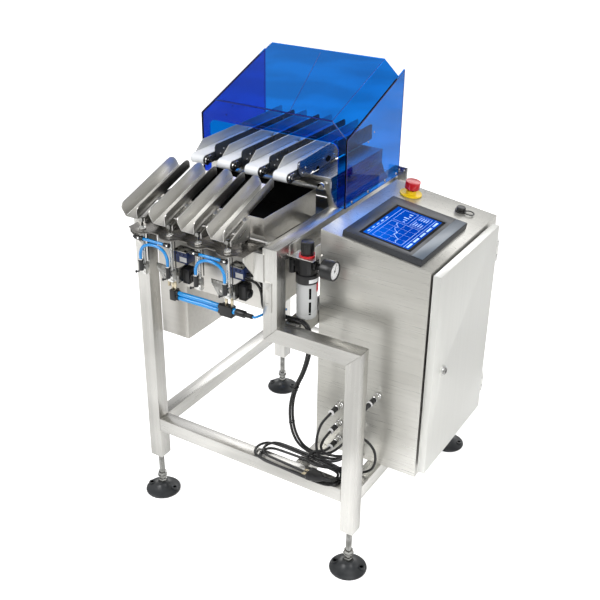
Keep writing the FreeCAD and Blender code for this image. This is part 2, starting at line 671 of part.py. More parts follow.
fittings.append(manifold(FIRST + " - 20", "16", [FIRST + " - 4"]))
fittings.append(manifold(LAST + " - 37", "36", [LAST + " - 43"]))
fittings.append(join(bar(LAST + " + 7", feed_y, "feed_high - 3", "9", "26", "x"),
                     bar(LAST + " + 33", feed_y, "feed_high - 3", "6", "22", "x")))
for axis in (FIRST, LAST):
    coil = block(axis + " + 4 + gap", "-24", "shelf_z - 4", "20", "28", "38")
    cap = bar(axis + " + 4 + gap", "-10", "shelf_z + 12", "11", "26", "x")
    fittings.append(join(coil, cap))
node("air_fittings", *fittings)
plates = []
for axis in (FIRST, LAST):
    face = [(axis + " - 66", "lip_high"), (axis + " - 66", "lip_high - 12"),
        (axis + " - 46", "shelf_z"),
            (axis + " + 4", "shelf_z"), (axis + " + 4", "lip_high")]
    lip = padded("XZ_Plane", face, "sheet", y="shelf_front")
    shelf = block(axis + " - 46", "shelf_front", "shelf_z", "50", "shelf_back - shelf_front", "sheet")
    under = "plate_top - plate_thick - gap"
    hanger = [("shelf_front", "shelf_z"), ("shelf_back", "shelf_z"), ("shelf_back", under),
              ("shelf_back - 8", under), ("shelf_back - 8", "lip_high"), ("shelf_front", "lip_high")]
    wing = padded("YZ_Plane", hanger, "sheet", x=axis + " + 2")
    hole = bar(axis + " - 39", "shelf_front", "shelf_z + 13", "4", "sheet", "y")
    plates.append(minus(join(shelf, lip, wing), hole))
    cover = block(axis + " - 33", "-12", "valve_high + gap", "41", "32", "3")
    plates.append(cover)
node("valve_plates", *plates)
stubs = [bar("%s - %d" % (axis, back), feed_y, "shelf_z - 20 + gap", "4", "20 - 2 * gap", "z")
         for axis, back in ((FIRST, 15), (FIRST, 8), (LAST, 22), (LAST, 5))]
silencer = bar(FIRST + " - 32", feed_y + " + 6", "shelf_z - 17", "4", "17 - gap", "z")
node("brass_fittings", *stubs, silencer)
node("valve_blocks", *[block(axis + " - 33", "-10", "lip_high + gap", "43", "shelf_back - 8 - gap + 10",
                             "valve_high - lip_high - gap") for axis in (FIRST, LAST)])

tubes = []
pitch = dim("lane_pitch")
low = dim("arch_foot")
rise = dim("upper_z") - 8 - low
for n in (0, 2):
    start = dim("lane_first") + n * pitch + dim("rod_shift")
    y = dim("arch_y")
    arch = [(0, 0), (0, 0.36), (0.1, 0.76), (0.35, 0.99), (0.64, 1.01), (0.89, 0.84), (1, 0.48), (1, 0)]
    tubes.append(hose([(start + pitch * across, y, low + rise * up) for across, up in arch],
        dim("hose_radius")))
    y, z = dim("upper_y"), dim("upper_z")
    tubes.append(hose([(start + 10.3, y, z), (start + 0.4 * pitch, y - 1, z + 0.6),
                       (start + 0.65 * pitch, y - 1, z + 0.6), (start + pitch - 11.3, y,
                           z)], dim("hose_radius")))
left_face = dim("lane_first") + pitch + dim("rod_shift") + 2.3
right_face = dim("lane_first") + 3 * pitch + dim("rod_shift") - 43.3
span = right_face - left_face
y = dim("shelf_front")
for height in (dim("feed_low"), dim("feed_high")):
    tubes.append(hose([(left_face, y, height), (left_face + 0.35 * span, y - 1, height + 1),
                       (left_face + 0.7 * span, y, height + 1), (right_face, y,
                           height)], dim("feed_radius")))
start = right_face + 98.6
z = dim("feed_high") - 3
tubes.append(hose([(start + 0.2, y, z), (start + 7, y, z), (start + 12, y + 26, z - 2),
    (start + 12, y + 64, z - 3),
                   (start + 24, y + 79, z - 3), (start + 46, y + 82, z - 3)], 3))
collar = bar(LAST + " - 1", feed_y, "feed_high - 3", "8", "8 - gap", "x")
node("air_hoses", *tubes, collar)

# Belts, beds and guides
def loop(x, y, length, r, width, side):
    """A solid stadium: two rollers and the flat run between them."""
    mid = block("%s - %s" % (x, side), y, "belt_top - nose_radius - (%s)" % r, width, length,
        "2 * (%s)" % r)
    ends = [bar("%s - %s" % (x, side), at, "belt_top - nose_radius", r, width, "x")
            for at in (y, "%s + %s" % (y, length))]
    return join(mid, *ends)


RUNS = [("nose_y", "weigh_end"), ("infeed_start", "infeed_end")]
belts = []
beds = []
for n in LANES:
    for first, last in RUNS:
        start = "%s + nose_radius" % first
        length = "%s - %s - 2 * nose_radius" % (last, first)
        skin = loop(lane_x(n), start, length, "nose_radius", "belt_width", "belt_width / 2")
        core = loop(lane_x(n), start, length, "nose_radius - belt_thick", "belt_width",
            "belt_width / 2")
        belts.append(minus(skin, core))
        beds.append(loop(lane_x(n), start, length, "nose_radius - belt_thick - gap",
                         "belt_width + 2 * (belt_side - gap)", "(belt_width / 2 + belt_side - gap)"))
node("belts", *belts)
node("conveyor_beds", *beds)
guides = []
dark = []
for n in LANES:
    left = lane_x(n, "-belt_width / 2 - belt_side - guide_thick")
    right = lane_x(n, "belt_width / 2 + belt_side")
    tall = [("guide_start", "guide_low"), ("infeed_end", "guide_low"),
        ("infeed_end", "belt_top + guide_rise"),
            ("guide_full", "belt_top + guide_rise"), ("guide_start + 10",
                "belt_top + 4"), ("guide_start", "belt_top - 6")]
    guides.append(round_corners(padded("YZ_Plane", tall, "guide_thick", x=left), (2, 3), "9"))
    short = [("dark_start", "guide_low"), ("infeed_end", "guide_low"),
        ("infeed_end", "belt_top + dark_rise"),
             ("dark_start", "belt_top + dark_rise")]
    dark.append(round_corners(padded("YZ_Plane", short, "guide_thick", x=right), (2, 3), "9"))
node("lane_guides", *guides)
node("lane_guards", *dark)
profile = [("side_front", "side_low + 22"), ("side_front + 12", "side_low + 4"),
    ("side_front + 40", "side_low"),
           ("side_front + 63", "side_low"), ("side_front + 71", "side_low + 9"), ("side_front + 79",
               "side_low"),
           ("side_back - 43", "side_low"), ("side_back - 35", "side_low + 9"), ("side_back - 27",
               "side_low + 6"),
           ("side_back", "side_low + 16"),
           ("side_back", "side_high"), ("side_front + 138", "side_high"), ("side_front",
               "side_high - 7")]
node("side_plate", round_corners(padded("YZ_Plane", profile, "guide_thick",
    x=lane_x(3, "belt_width / 2 + belt_side + guide_thick + side_space")), (10, 12), "12"))


def support(y, low):
    left = "-tube / 2 + beam_over"
    right = "post_x + tube / 2 - beam_over"
    top = "guide_low - gap"
    foot = "rail_top + gap"
    edge = [(left, foot), (left + " + 14", foot), (left + " + 26", low), (right + " - 38", low),
        (right + " - 26", foot),
            (right, foot), (right + " - 12", foot + " + 12"), (right + " - 22",
                "(rail_top + guide_low) / 2"),
            (right + " - 22", top), (left + " + 8", top), (left + " + 8", "(rail_top + guide_low) / 2")]
    plate = padded("XZ_Plane", edge, "beam_thick", y=y)
    return minus(plate, bar(right + " - 40", y, "shaft_z", "shaft_radius + running", "beam_thick", "y"))


node("cross_plates", support("beam_front_y", "beam_low + 8"), support("beam_mid_y", "beam_low"),
     support("beam_rear_y", "beam_low"))
adjusters = []
for n in LANES:
    x = lane_x(n, "belt_width / 2 + belt_side")
    shell = bar(x, "nose_y + nose_radius + 3", "belt_top - nose_radius - 6", "9", "4", "x")
    arm = block(x, "nose_y + nose_radius + 3", "belt_top - nose_radius - 12", "4",
                "dark_start - nose_y - nose_radius - 3 - gap", "8")
    adjusters.append(join(shell, arm))
node("nose_adjusters", *adjusters)
shaft_x = "post_x + tube / 2 - beam_over - 40"
node("tie_shaft",
     join(bar(shaft_x, "beam_front_y - 14", "shaft_z", "shaft_radius", "beam_mid_y - beam_front_y + 28",
         "y"),
          bar(shaft_x, "beam_front_y - 22", "shaft_z", "knob_radius", "10", "y")))

# Reject bin and the housings under the deck
def bin_outline(inset, top):
    return [("bin_front + %s" % inset, top), ("bin_front + %s" % inset,
        "bin_low + bin_bevel - %s / 3" % inset),
            ("bin_front + bin_bevel + %s / 3" % inset, "bin_low + " + inset), ("bin_back - " + inset,
                "bin_low + " + inset),
            ("bin_back - " + inset, top)]


tub = padded("YZ_Plane", bin_outline("0", "bin_high"), "bin_right - bin_left", x="bin_left")
well = padded("YZ_Plane", bin_outline("sheet", "bin_high + sheet"), "bin_right - bin_left - 2 * sheet",
              x="bin_left + sheet")
node("reject_bin", minus(tub, well))
node("bin_carriers", *[block("tube / 2", y, "bin_low - gap - carrier", "post_x - tube", "carrier",
    "carrier")
                       for y in ("bin_front + bin_bevel + 10", "bin_back - 40")])
node("deck_ties", *[block("tube / 2", y, "rail_top - carrier - 4", "post_x - tube", "carrier",
    "carrier")
                    for y in ("drive_back - carrier", "span_y - tube")])
wide = block("drive_left", "drive_front", "drive_low", "drive_right - drive_left",
    "drive_back - drive_front",
             "drive_high - drive_low")
hanging = block("box_left", "drive_front", "box_low", "box_right - box_left", "box_back - drive_front",
                "drive_high - box_low")
hanger = block("box_left", "drive_front + 20", "drive_high", "tube / 2 - 4 - box_left",
    "box_back - drive_front - 40",
               "rail_top - tube - gap - drive_high")
neck = block("drive_left", "drive_back - 30", "drive_high", "drive_right - drive_left", "8",
             "rail_top - carrier - 4 - gap - drive_high")
node("housings", join(wide, hanging, hanger, neck))

# Hood
inner_left = "hood_left + hood_sheet"
inner_right = "hood_right - hood_sheet"


def slope_z(z, y):
    return "%s + (%s - hood_front) * tan(hood_rise)" % (z, y)


wing = [("hood_front", "rail_top"), ("hood_back", "rail_top"),
    ("hood_back", slope_z("hood_shoulder", "hood_back")),
        ("hood_front", "hood_shoulder")]
node("hood_wings", padded("YZ_Plane", wing, "hood_sheet", x="hood_left"),
     padded("YZ_Plane", wing, "hood_sheet", x=inner_right))
face = [(inner_left, "rail_top + gap"), (inner_left + " + hood_leg", "rail_top + gap"),
        (inner_left + " + hood_leg", "hood_open_top"), (inner_right + " - hood_leg", "hood_open_top"),
        (inner_right + " - hood_leg", "rail_top + gap"), (inner_right, "rail_top + gap"), (inner_right,
            "hood_shoulder"),
        (inner_right + " - hood_chamfer", "hood_ridge"), (inner_left + " + hood_chamfer", "hood_ridge"),
        (inner_left, "hood_shoulder")]
node("hood_front", round_corners(padded("XZ_Plane", face, "hood_sheet", y="hood_front"), (2, 3),
    "hood_open_round"))
roof = [(inner_left, "0"), (inner_left + " + hood_chamfer", "hood_ridge - hood_shoulder"),
        (inner_right + " - hood_chamfer", "hood_ridge - hood_shoulder"), (inner_right,
            "0"), (inner_right, "-hood_sheet"),
        (inner_right + " - hood_chamfer", "hood_ridge - hood_shoulder - hood_sheet"),
        (inner_left + " + hood_chamfer", "hood_ridge - hood_shoulder - hood_sheet"), (inner_left,
            "-hood_sheet")]
lid = padded("XZ_Plane", roof, "(hood_lid_back - hood_front - hood_sheet) / cos(hood_rise)",
             y="hood_front + hood_sheet", z=slope_z("hood_shoulder", "(hood_front + hood_sheet)"))
lid_pad = lid.Tip
lid_pad.UseCustomVector = True
lid_pad.Direction = Vector(0, 1, math.tan(math.radians(dim("hood_rise"))))
lid_pad.Reversed = False
lid_pad.setExpression("Direction.z", cells("tan(hood_rise)"))
node("hood_lid", lid)
node("hood_rear_plate",
     join(block("hood_right + gap", "hood_back - 8", "rail_top - 10", "rear_plate_right - hood_right",
         "6", "38"),
          block("post_x + tube / 2 + gap", "hood_back - 8", "rail_top - 30",
                "hood_right - post_x - tube / 2 + 8", "6", "24")))

# Control cabinet
roof_fall = "cab_width * tan(cab_slope)"


def cabinet_outline(inset):
    return [("cab_left + " + inset, "low_top + gap + " + inset),
        ("cab_left + cab_width - " + inset, "low_top + gap + " + inset),
            ("cab_left + cab_width - " + inset, "cab_top - %s - %s" % (roof_fall, inset)),
            ("cab_left + " + inset, "cab_top - " + inset)]


shell = padded("XZ_Plane", cabinet_outline("0"), "cab_depth", y="cab_front")
room = padded("XZ_Plane", cabinet_outline("sheet"), "cab_depth - 2 * sheet", y="cab_front + sheet")
doorway = block("cab_left + cab_width - 2 * sheet", "cab_front + cab_lip", "low_top + gap + cab_lip",
    "3 * sheet",
                "cab_depth - 2 * cab_lip - 40", "cab_top - %s - low_top - gap - 2 * cab_lip" % roof_fall)
node("cabinet", minus(shell, room, doorway))
board = block("cab_left + sheet + gap", "cab_front + 30", "low_top + 60", "3", "cab_depth - 60", "480")
gear = [block("cab_left + sheet + gap + 3", y, z, "70", dy, dz)
        for y, z, dy, dz in (("cab_front + 60", "low_top + 360", "120", "130"),
            ("cab_front + 220", "low_top + 340", "110", "150"),
                             ("cab_front + 60", "low_top + 170", "280", "60"))]
node("control_gear", join(board, *gear))

# Cabinet door on its hinges
door_x = "cab_left + cab_width + door_gap"
door_back = "cab_front + door_depth"
panel = block(door_x, "cab_front", "door_low", "door_thick", "door_depth", "door_high - door_low")
recess = block(door_x, "cab_front + sheet", "door_low + sheet", "door_thick - sheet",
    "door_depth - 2 * sheet",
               "door_high - door_low - 2 * sheet")
hinge_x = door_x + " + door_thick - hinge_inset"
hinge_y = door_back + " + hinge_offset"
fixed = []
moving = []
for z in ("hinge_low", "hinge_high"):
    parts = [bar(hinge_x, hinge_y, "%s - 1.5 * knuckle_height" % z, "hinge_pin", "3 * knuckle_height")]
    for foot in ("%s - 1.5 * knuckle_height" % z, "%s + 0.5 * knuckle_height + gap" % z):
        parts.append(bar(hinge_x, hinge_y, foot, "knuckle_radius", "knuckle_height - gap"))
        parts.append(block("cab_left + cab_width", hinge_y + " - 2", foot,
            hinge_x + " - cab_left - cab_width", "4",
                           "knuckle_height - gap"))
    fixed.append(join(*parts))
    foot = "%s - 0.5 * knuckle_height" % z
    tongue = block(hinge_x + " - 2", door_back + " - sheet", foot, "4", "hinge_offset + sheet",
        "knuckle_height")
    moving.append(minus(join(bar(hinge_x, hinge_y, foot, "knuckle_radius", "knuckle_height"), tongue),
                        bar(hinge_x, hinge_y, foot, "hinge_pin + running", "knuckle_height")))
node("hinge_leaves", *fixed)
rose = bar(door_x + " + door_thick - sheet", "lock_y", "lock_z", "lock_radius", "sheet + 4", "x")
bore = bar(door_x + " + door_thick - sheet", "lock_y", "lock_z", "lock_stem + running", "sheet + 4",
    "x")
node("door", minus(join(minus(panel, recess), rose, *moving), bore))
stem = bar(door_x + " + door_thick - sheet", "lock_y", "lock_z", "lock_stem", "sheet + 8", "x")
grip = block(door_x + " + door_thick + 5", "lock_y - 4", "lock_z - 12", "6", "8", "24")
node("door_lock", join(stem, grip))


# Touch panel, emergency stop and service port on the sloping roof
def on_roof(thing, down, y, x=0, lift="gap"):
    """Lay a piece on the roof: its own X runs down the slope and its own Z stands off it."""
    thing.Placement = Placement(Vector(), Rotation(AXES["y"], 8))
    thing.setExpression("Placement.Rotation.Angle", cells("cab_slope"))
    return place(thing, "cab_left + (%s) * cos(cab_slope) + (%s) * sin(cab_slope)" % (down, lift), y,
                 "cab_top - (%s) * sin(cab_slope) + (%s) * cos(cab_slope)" % (down, lift))


def roof_block(down, y, lift, dx, dy, dz):
    return on_roof(block(0, 0, 0, dx, dy, dz), down, y, lift=lift)


def roof_bar(down, y, lift, radius, length):
    return on_roof(bar(0, 0, 0, radius, length), down, y, lift=lift)


panel_y = "cab_front + hmi_in"
case = roof_block("hmi_down", panel_y, "gap", "hmi_height", "hmi_depth", "hmi_thick")
recess = roof_block("hmi_down + bezel_up", panel_y + " + bezel_near", "gap + hmi_thick - 2",
                    "hmi_height - bezel_up - bezel_down", "hmi_depth - bezel_near - bezel_far", "2")
node("hmi", minus(case, recess))
node("hmi_screen", roof_block("hmi_down + bezel_up + gap", panel_y + " + bezel_near + gap",
                              "gap + hmi_thick - 2 + gap", "hmi_height - bezel_up - bezel_down - 2 * gap",
                              "hmi_depth - bezel_near - bezel_far - 2 * gap", "1"))
node("estop_disc", minus(join(roof_bar("stop_down", "stop_y", "gap", "stop_disc", "4"),
                              roof_bar("stop_down", "stop_y", "gap", "stop_neck + 5", "12")),
                         roof_bar("stop_down", "stop_y", "gap", "stop_neck + running", "12")))
node("estop_head", join(roof_bar("stop_down", "stop_y", "stop_travel + 2 * gap", "stop_neck", "14"),
                        roof_bar("stop_down", "stop_y", "12 + stop_travel + 2", "stop_head", "20")))
node("service_port", join(roof_bar("port_down", "port_y", "gap", "15", "5"),
                          roof_bar("port_down", "port_y", "5", "11", "8")))

# Pressure regulator on its bracket
side_face = "post_x + tube / 2 + gap"
shelf = block(side_face, "reg_y - 24", "reg_high + gap", "reg_x + 30 - (%s)" % side_face, "48", "sheet")
leaf = block(side_face, "reg_y - 24", "reg_high + gap", "sheet", "48", "rail_top - 4 - reg_high - gap")
tab = block("reg_x + 28", "reg_y - 12", "reg_high + gap", "sheet", "24", "36")
node("regulator_bracket", minus(join(shelf, leaf, tab), bar("reg_x", "reg_y", "reg_high", "16 + gap",
    "10")))
head = block("reg_x - 22", "reg_y - 20", "gauge_z - 16", "44", "40", "reg_high - gauge_z + 16")
elbow = join(bar("reg_x - 42", "reg_y", "gauge_z - 4", "8", "24", "x"),
    bar("reg_x - 42", "reg_y", "gauge_z - 30", "9", "34"))
body = join(bar("reg_x", "reg_y", "reg_low", "reg_radius", "22"),
    bar("reg_x", "reg_y", "reg_low", "23", "reg_high - reg_low"),
            bar("reg_x", "reg_y", "reg_high - 2", "16", "10"), head, elbow,
            bar("reg_x + 20", "reg_y", "gauge_z", "12", "8", "x"))
socket = bar("reg_x", "reg_y", "reg_high", "8 + running", "8")
node("regulator", minus(body, socket))
bowl = [("0", "bowl_low"), ("bowl_radius - 7", "bowl_low"), ("bowl_radius - 2", "bowl_low + 3"),
        ("bowl_radius", "bowl_low + 9"), ("bowl_radius", "reg_low - gap"), ("0", "reg_low - gap")]
node("regulator_bowl", turned(bowl, "reg_x", "reg_y", "0"))
node("regulator_ring", minus(bar("reg_x", "reg_y", "reg_high + sheet + 2 * gap", "21", "4"),
                             bar("reg_x", "reg_y", "reg_high", "16 + gap", "20")))
node("regulator_knob", join(bar("reg_x", "reg_y", "reg_high + 8 + gap", "15.5",
    "knob_high - reg_high - 8 - gap"),
                            bar("reg_x", "reg_y", "reg_high + gap", "8", "12")))
node("pressure_gauge", join(bar("reg_x + 28 + gap", "reg_y", "gauge_z", "8", "gauge_out - 28 - gap",
    "x"),
                            bar("reg_x + gauge_out", "reg_y", "gauge_z", "gauge_radius", "gauge_depth",
                                "x")))

# Cables, their connectors and the coiled mains lead
front = "cab_front - gap"


def long_connector(x, z):
    """A round connector with its nut, its body, the long sleeve for the cable and an end ring."""
    return join(bar(x, front + " - 7", z, "10", "7", "y"), bar(x, front + " - 24", z, "8", "18", "y"),
                bar(x, front + " - 48", z, "7", "25", "y"), bar(x, front + " - 52", z, "8", "5", "y"))


def short_connector(x, z):
    return join(bar(x, front + " - 7", z, "10", "7", "y"), bar(x, front + " - 28", z, "7", "22", "y"))


LONG = [("cab_left + 72", "413"), ("cab_left + 72", "356"), ("cab_left + 72", "306"),
    ("cab_left + 180", "478")]
SHORT = [("cab_left + 110", "330"), ("cab_left + 110", "290"), ("cab_left + 138", "352"),
    ("cab_left + 138", "312"),
         ("cab_left + 138", "278")]
node("cabinet_connectors", *[long_connector(x, z) for x, z in LONG],
    *[short_connector(x, z) for x, z in SHORT])
face = dim("cab_front") - 28.7
ring = dim("cab_front") - 52.7
column = dim("cab_left") + 72
inner = dim("cab_left") + 110
outer = dim("cab_left") + 138
r = dim("cable_radius")
valve_end = dim("lane_first") + 3 * pitch + dim("rod_shift") + 10.4


def signal_cable(start, back, end):
    """From a valve behind the post, under the regulator and down to a connector."""
    down = [(355, 12 - back, 742), (353, 15 - back, 706), (362, 34 - back, 683),
        (392, 42 - back, 677.6),
            (428, 44 - back, 677.6), (458, 46 - back, 675), (470, 49 - back, 648), (469, 50 - back,
                590),
            (456, 46 - back, 533), (434, 45 - back, 483), (421, 45 - back, 432), (420, 45 - back, 384),
            (427, 46 - back, 341), (443, 50 - back, 306)]
    return hose(start + down + end, r)


node("cable_bundle",
     signal_cable([(valve_end, 4, 786), (valve_end + 20, 4, 786), (348, 9, 776)], 0,
                  [(468, 56, 287), (500, 58, 285), (532, 62, 300), (inner, 74, 330),
                      (inner, face, 330)]),
     signal_cable([(valve_end, -5, 778), (valve_end + 20, -5, 778), (348, 0, 768)], 8.2,
                  [(468, 47, 289), (500, 46, 287), (530, 50, 288), (552, 60, 289), (inner, 76, 290),
                      (inner, face, 290)]),
     hose([(column, ring, 413), (column, 56, 413), (509, 40, 396), (502, 32, 360), (502, 30, 320),
         (514, 30, 294),
           (542, 36, 290), (575, 50, 305), (outer, 70, 340), (outer, 80, 352), (outer, face, 352)], r),
     hose([(column, ring, 356), (column, 60, 356), (511, 46, 338), (508, 42, 318), (520, 44, 304),
         (548, 48, 304),
           (575, 62, 306), (outer, 76, 312), (outer, face, 312)], r),
     hose([(column, ring, 306), (column, 62, 306), (508, 54, 301), (492, 50, 299), (480, 40, 292),
         (477, 26, 285),
           (490, 14, 283.5), (515, 12, 283.5), (545, 20, 283.5), (574, 36, 284), (587, 58, 280), (outer,
               78, 278),
           (outer, face, 278)], r),
     hose([(dim("cab_left") + 180, ring, 478), (dim("cab_left") + 180, 58, 478), (612, 48, 452),
         (601, 49, 418),
           (608, 54, 388), (634, 60, 378), (656, 61, 356), (660, 61, 322), (648, 63, 290), (624, 62,
               273.5),
           (602, 54, 272.3), (585.5, 40.6, 272.3)], r))


def coil_ring():
    """The outer shape of the coiled lead: a flat ring with two straight runs."""
    x, y, z = dim("coil_x"), dim("coil_y"), dim("low_top") + dim("gap") + dim("coil_thick")
    run, bend = dim("coil_run"), dim("coil_bend")
    edges = []
    for side in (1, -1):
        front_end = Vector(x + side * run, y - side * bend, z)
        back_end = Vector(x + side * run, y + side * bend, z)
        edges.append(Part.LineSegment(Vector(x - side * run, y - side * bend, z), front_end).toShape())
        edges.append(Part.Arc(front_end, Vector(x + side * (run + bend), y, z), back_end).toShape())
    start = Vector(x - run, y - bend, z)
    flat = Part.Ellipse(start, dim("coil_spread"), dim("coil_thick")).toShape()
    upright = flat.rotated(start, AXES["x"], 90).rotated(start, AXES["z"], 90)
    band = Part.Wire(edges).makePipeShell([Part.Wire(upright)], True, False)
    print("coil volume %.0f" % band.Volume, band.isValid(), band.BoundBox)
    piece = doc.addObject("Part::Feature", "Coil")
    piece.Shape = band
    return piece


node("cable_coil", coil_ring())
grip = [("0", "0"), ("34", "0"), ("44", "6"), ("44", "32"), ("34", "38"), ("0", "38")]
plug_z = "low_top + 2 * gap + 2 * coil_thick"
node("power_plug", join(round_corners(padded("XY_Plane", grip, "18", x="plug_x", y="plug_y", z=plug_z),
    (0, 1, 4, 5), "5"),
                        bar("plug_x + 42", "plug_y + 19", plug_z + " + 9", "5", "14", "x")))

# Finish
doc.recompute()
for thing in doc.Objects:
    wrong = [word for word in thing.State if word in ("Invalid", "Error")]
    if wrong:
        raise RuntimeError("object %s %s: %s" % (thing.Name, thing.Label, wrong))
for thing in nodes:
    shape = thing.Shape
    if shape.isNull() or not shape.isValid():
        raise RuntimeError("bad shape: %s" % thing.Label)
    shape.exportStep("parts/%s.step" % thing.Label)
print("pieces", len(nodes), "solids", sum(len(thing.Shape.Solids) for thing in nodes))
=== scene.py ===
# %% [markdown]
# # A four-lane checkweigher
# The machine weighs narrow packs on four belts and tips the bad ones into a bin.
# The exact solids come in first as a fixed frame. This lesson gives them their
# finishes, lays the loose cables, adds the small pieces that are only there for
# the eye, and sets up the floor, the light and the camera.

# %% Bring in the solids
import bmesh
import bpy
import math
from mathutils import Matrix, Vector


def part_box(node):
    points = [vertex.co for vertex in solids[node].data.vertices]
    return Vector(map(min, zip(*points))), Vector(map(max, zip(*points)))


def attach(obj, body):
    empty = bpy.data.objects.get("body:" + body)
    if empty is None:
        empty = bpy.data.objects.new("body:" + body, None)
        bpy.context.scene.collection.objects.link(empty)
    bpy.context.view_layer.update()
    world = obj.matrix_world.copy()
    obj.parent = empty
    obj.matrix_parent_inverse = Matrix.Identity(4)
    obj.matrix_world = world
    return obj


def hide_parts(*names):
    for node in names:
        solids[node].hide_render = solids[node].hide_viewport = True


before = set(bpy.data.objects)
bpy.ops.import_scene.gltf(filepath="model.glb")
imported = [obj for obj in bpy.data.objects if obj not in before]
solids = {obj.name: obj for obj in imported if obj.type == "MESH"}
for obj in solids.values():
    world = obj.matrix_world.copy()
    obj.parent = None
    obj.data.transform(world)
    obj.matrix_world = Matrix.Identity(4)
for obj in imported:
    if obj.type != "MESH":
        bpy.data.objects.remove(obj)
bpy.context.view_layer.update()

# %% [markdown]
# ## Camera
# The view was worked out from the machine's own edges: the camera stands to the
# right of the front, a little over two metres from the middle, looks down by a
# little over 27 degrees and leans by less than one.

# %% Camera
AZIMUTH, DOWN, LEAN = math.radians(31.1), math.radians(27.4), math.radians(0.7)
EYE_AT = (1.4905, -1.6986, 1.7879)


def new_object(name, data):
    """An object that shows some data in the scene."""
    piece = bpy.data.objects.new(name, data)
    bpy.context.scene.collection.objects.link(piece)
    return piece


eye = bpy.data.cameras.new("camera")
eye.sensor_width = 36.0
eye.lens = 56.38
camera = new_object("camera", eye)
forward = Vector((-math.sin(AZIMUTH) * math.cos(DOWN), math.cos(AZIMUTH) * math.cos(DOWN), -math.sin(DOWN)))
level = Vector((math.cos(AZIMUTH), math.sin(AZIMUTH), 0.0))
right = level * math.cos(LEAN) + level.cross(forward) * math.sin(LEAN)
turn = Matrix((right, right.cross(forward), -forward)).transposed()
camera.matrix_world = Matrix.Translation(EYE_AT) @ turn.to_4x4()
bpy.context.scene.camera = camera
bpy.context.scene.view_settings.view_transform = "Standard"
print("camera at", [round(v, 3) for v in camera.location])

# %% [markdown]
# ## How colours are written
# A colour picked from a picture is in the display's own scale, while the
# shader wants linear light. One small function turns the first into the second,
# so the finishes below can be written as they look.


# %% A colour as it looks on screen
def seen(red, green, blue):
    """Linear RGBA for a colour written as it looks on screen, 0 to 1."""
    linear = [c / 12.92 if c <= 0.04045 else ((c + 0.055) / 1.055) ** 2.4 for c in (red, green, blue)]
    return (*linear, 1.0)


def grey(light):
    """A grey of that much linear light."""
    return (light, light, light, 1.0)


print("mid grey", [round(c, 3) for c in seen(0.5, 0.5, 0.5)])

# %% [markdown]
# ## Effects that several finishes share
# Brushing, slow changes of tone, which on metal are a painted reflection, and a
# fine pebble turn up on many pieces. Each is a node group with named inputs, built
# once and used with other values in each material. The groups put out only masks
# and heights; the shader itself stays in the material.


# %% Nodes, links and groups
def add(tree, kind, **settings):
    """A node of a kind, with its properties or input values set by name."""
    node = tree.nodes.new(kind)
    for name, value in settings.items():
        if hasattr(node, name):
            setattr(node, name, value)
        else:
            node.inputs[name.replace("_", " ")].default_value = value
    return node


def wire(tree, *links):
    """Links in a tree, each written as node, output, node, input."""
    for source, output, target, entry in links:
        tree.links.new(source.outputs[output], target.inputs[entry])


def effect(name, inputs, outputs):
    """A new shader node group, with its input, output and coordinate nodes."""
    tree = bpy.data.node_groups.new(name, "ShaderNodeTree")
    for label, value in inputs.items():
        kind = "NodeSocketVector" if isinstance(value, tuple) else "NodeSocketFloat"
        tree.interface.new_socket(name=label, in_out="INPUT", socket_type=kind).default_value = value
    for label in outputs:
        tree.interface.new_socket(name=label, in_out="OUTPUT", socket_type="NodeSocketFloat")
    return tree, add(tree, "NodeGroupInput"), add(tree, "NodeGroupOutput"), add(tree, "ShaderNodeTexCoord")


# %% [markdown]
# ### Brushing
# Brushed steel has thousands of fine parallel scratches, and wider streaks where
# the belt of the grinder pressed harder. Both are noise that is squeezed across
# the scratches and stretched along them. The stretch is an input, so a leg gets
# upright scratches and a rail gets long ones. The tilt turns the scratches to run
# down a slope, for the chutes.

# %% Brushing
brushing, given, result, place = effect(
    "Brushing", {"Stretch": (10.0, 700.0, 700.0), "Coarse": 0.14, "Tilt": 0.0}, ["Scratches", "Streaks"])
tilt = add(brushing, "ShaderNodeVectorRotate", rotation_type="X_AXIS")
squeeze = add(brushing, "ShaderNodeVectorMath", operation="MULTIPLY")
fine = add(brushing, "ShaderNodeTexNoise", Scale=1.0, Detail=3.0, Roughness=0.6)
wide = add(brushing, "ShaderNodeTexNoise", Detail=2.0, Roughness=0.55)
wire(brushing, (place, "Object", tilt, "Vector"), (given, "Tilt", tilt, "Angle"),
     (tilt, "Vector", squeeze, 0), (given, "Stretch", squeeze, 1), (squeeze, 0, fine, "Vector"),
     (squeeze, 0, wide, "Vector"), (given, "Coarse", wide, "Scale"), (fine, "Fac", result, "Scratches"),
     (wide, "Fac", result, "Streaks"))
print("group", brushing.name)

# %% [markdown]
# ### Slow tone and painted reflection
# A large sheet of metal is never one even grey: it mirrors a room, and the mirror
# image is soft and wide. Large, soft noise paints that reflection into the colour
# of metal, and gives plastics their slight unevenness.

# %% Slow tone and painted reflection
tone_and_reflection, given, result, place = effect("ToneAndReflection", {"Size": 3.0, "Low": 0.35, "High": 0.65}, ["Mask"])
cloud = add(tone_and_reflection, "ShaderNodeTexNoise", Detail=2.0, Roughness=0.5)
spread = add(tone_and_reflection, "ShaderNodeMapRange", interpolation_type="SMOOTHSTEP")
wire(tone_and_reflection, (place, "Object", cloud, "Vector"), (given, "Size", cloud, "Scale"),
     (cloud, "Fac", spread, "Value"), (given, "Low", spread, "From Min"), (given, "High", spread, "From Max"),
     (spread, "Result", result, "Mask"))
print("group", tone_and_reflection.name)

# %% [markdown]
# ### Moulded skin
# Moulded plastic and rubber have a fine, even pebble that breaks up the shine.

# %% Moulded skin
moulded, given, result, place = effect("MouldedSkin", {"Size": 900.0}, ["Pebble"])
pebble = add(moulded, "ShaderNodeTexNoise", Detail=2.0, Roughness=0.5)
wire(moulded, (place, "Object", pebble, "Vector"), (given, "Size", pebble, "Scale"),
     (pebble, "Fac", result, "Pebble"))
print("group", moulded.name)


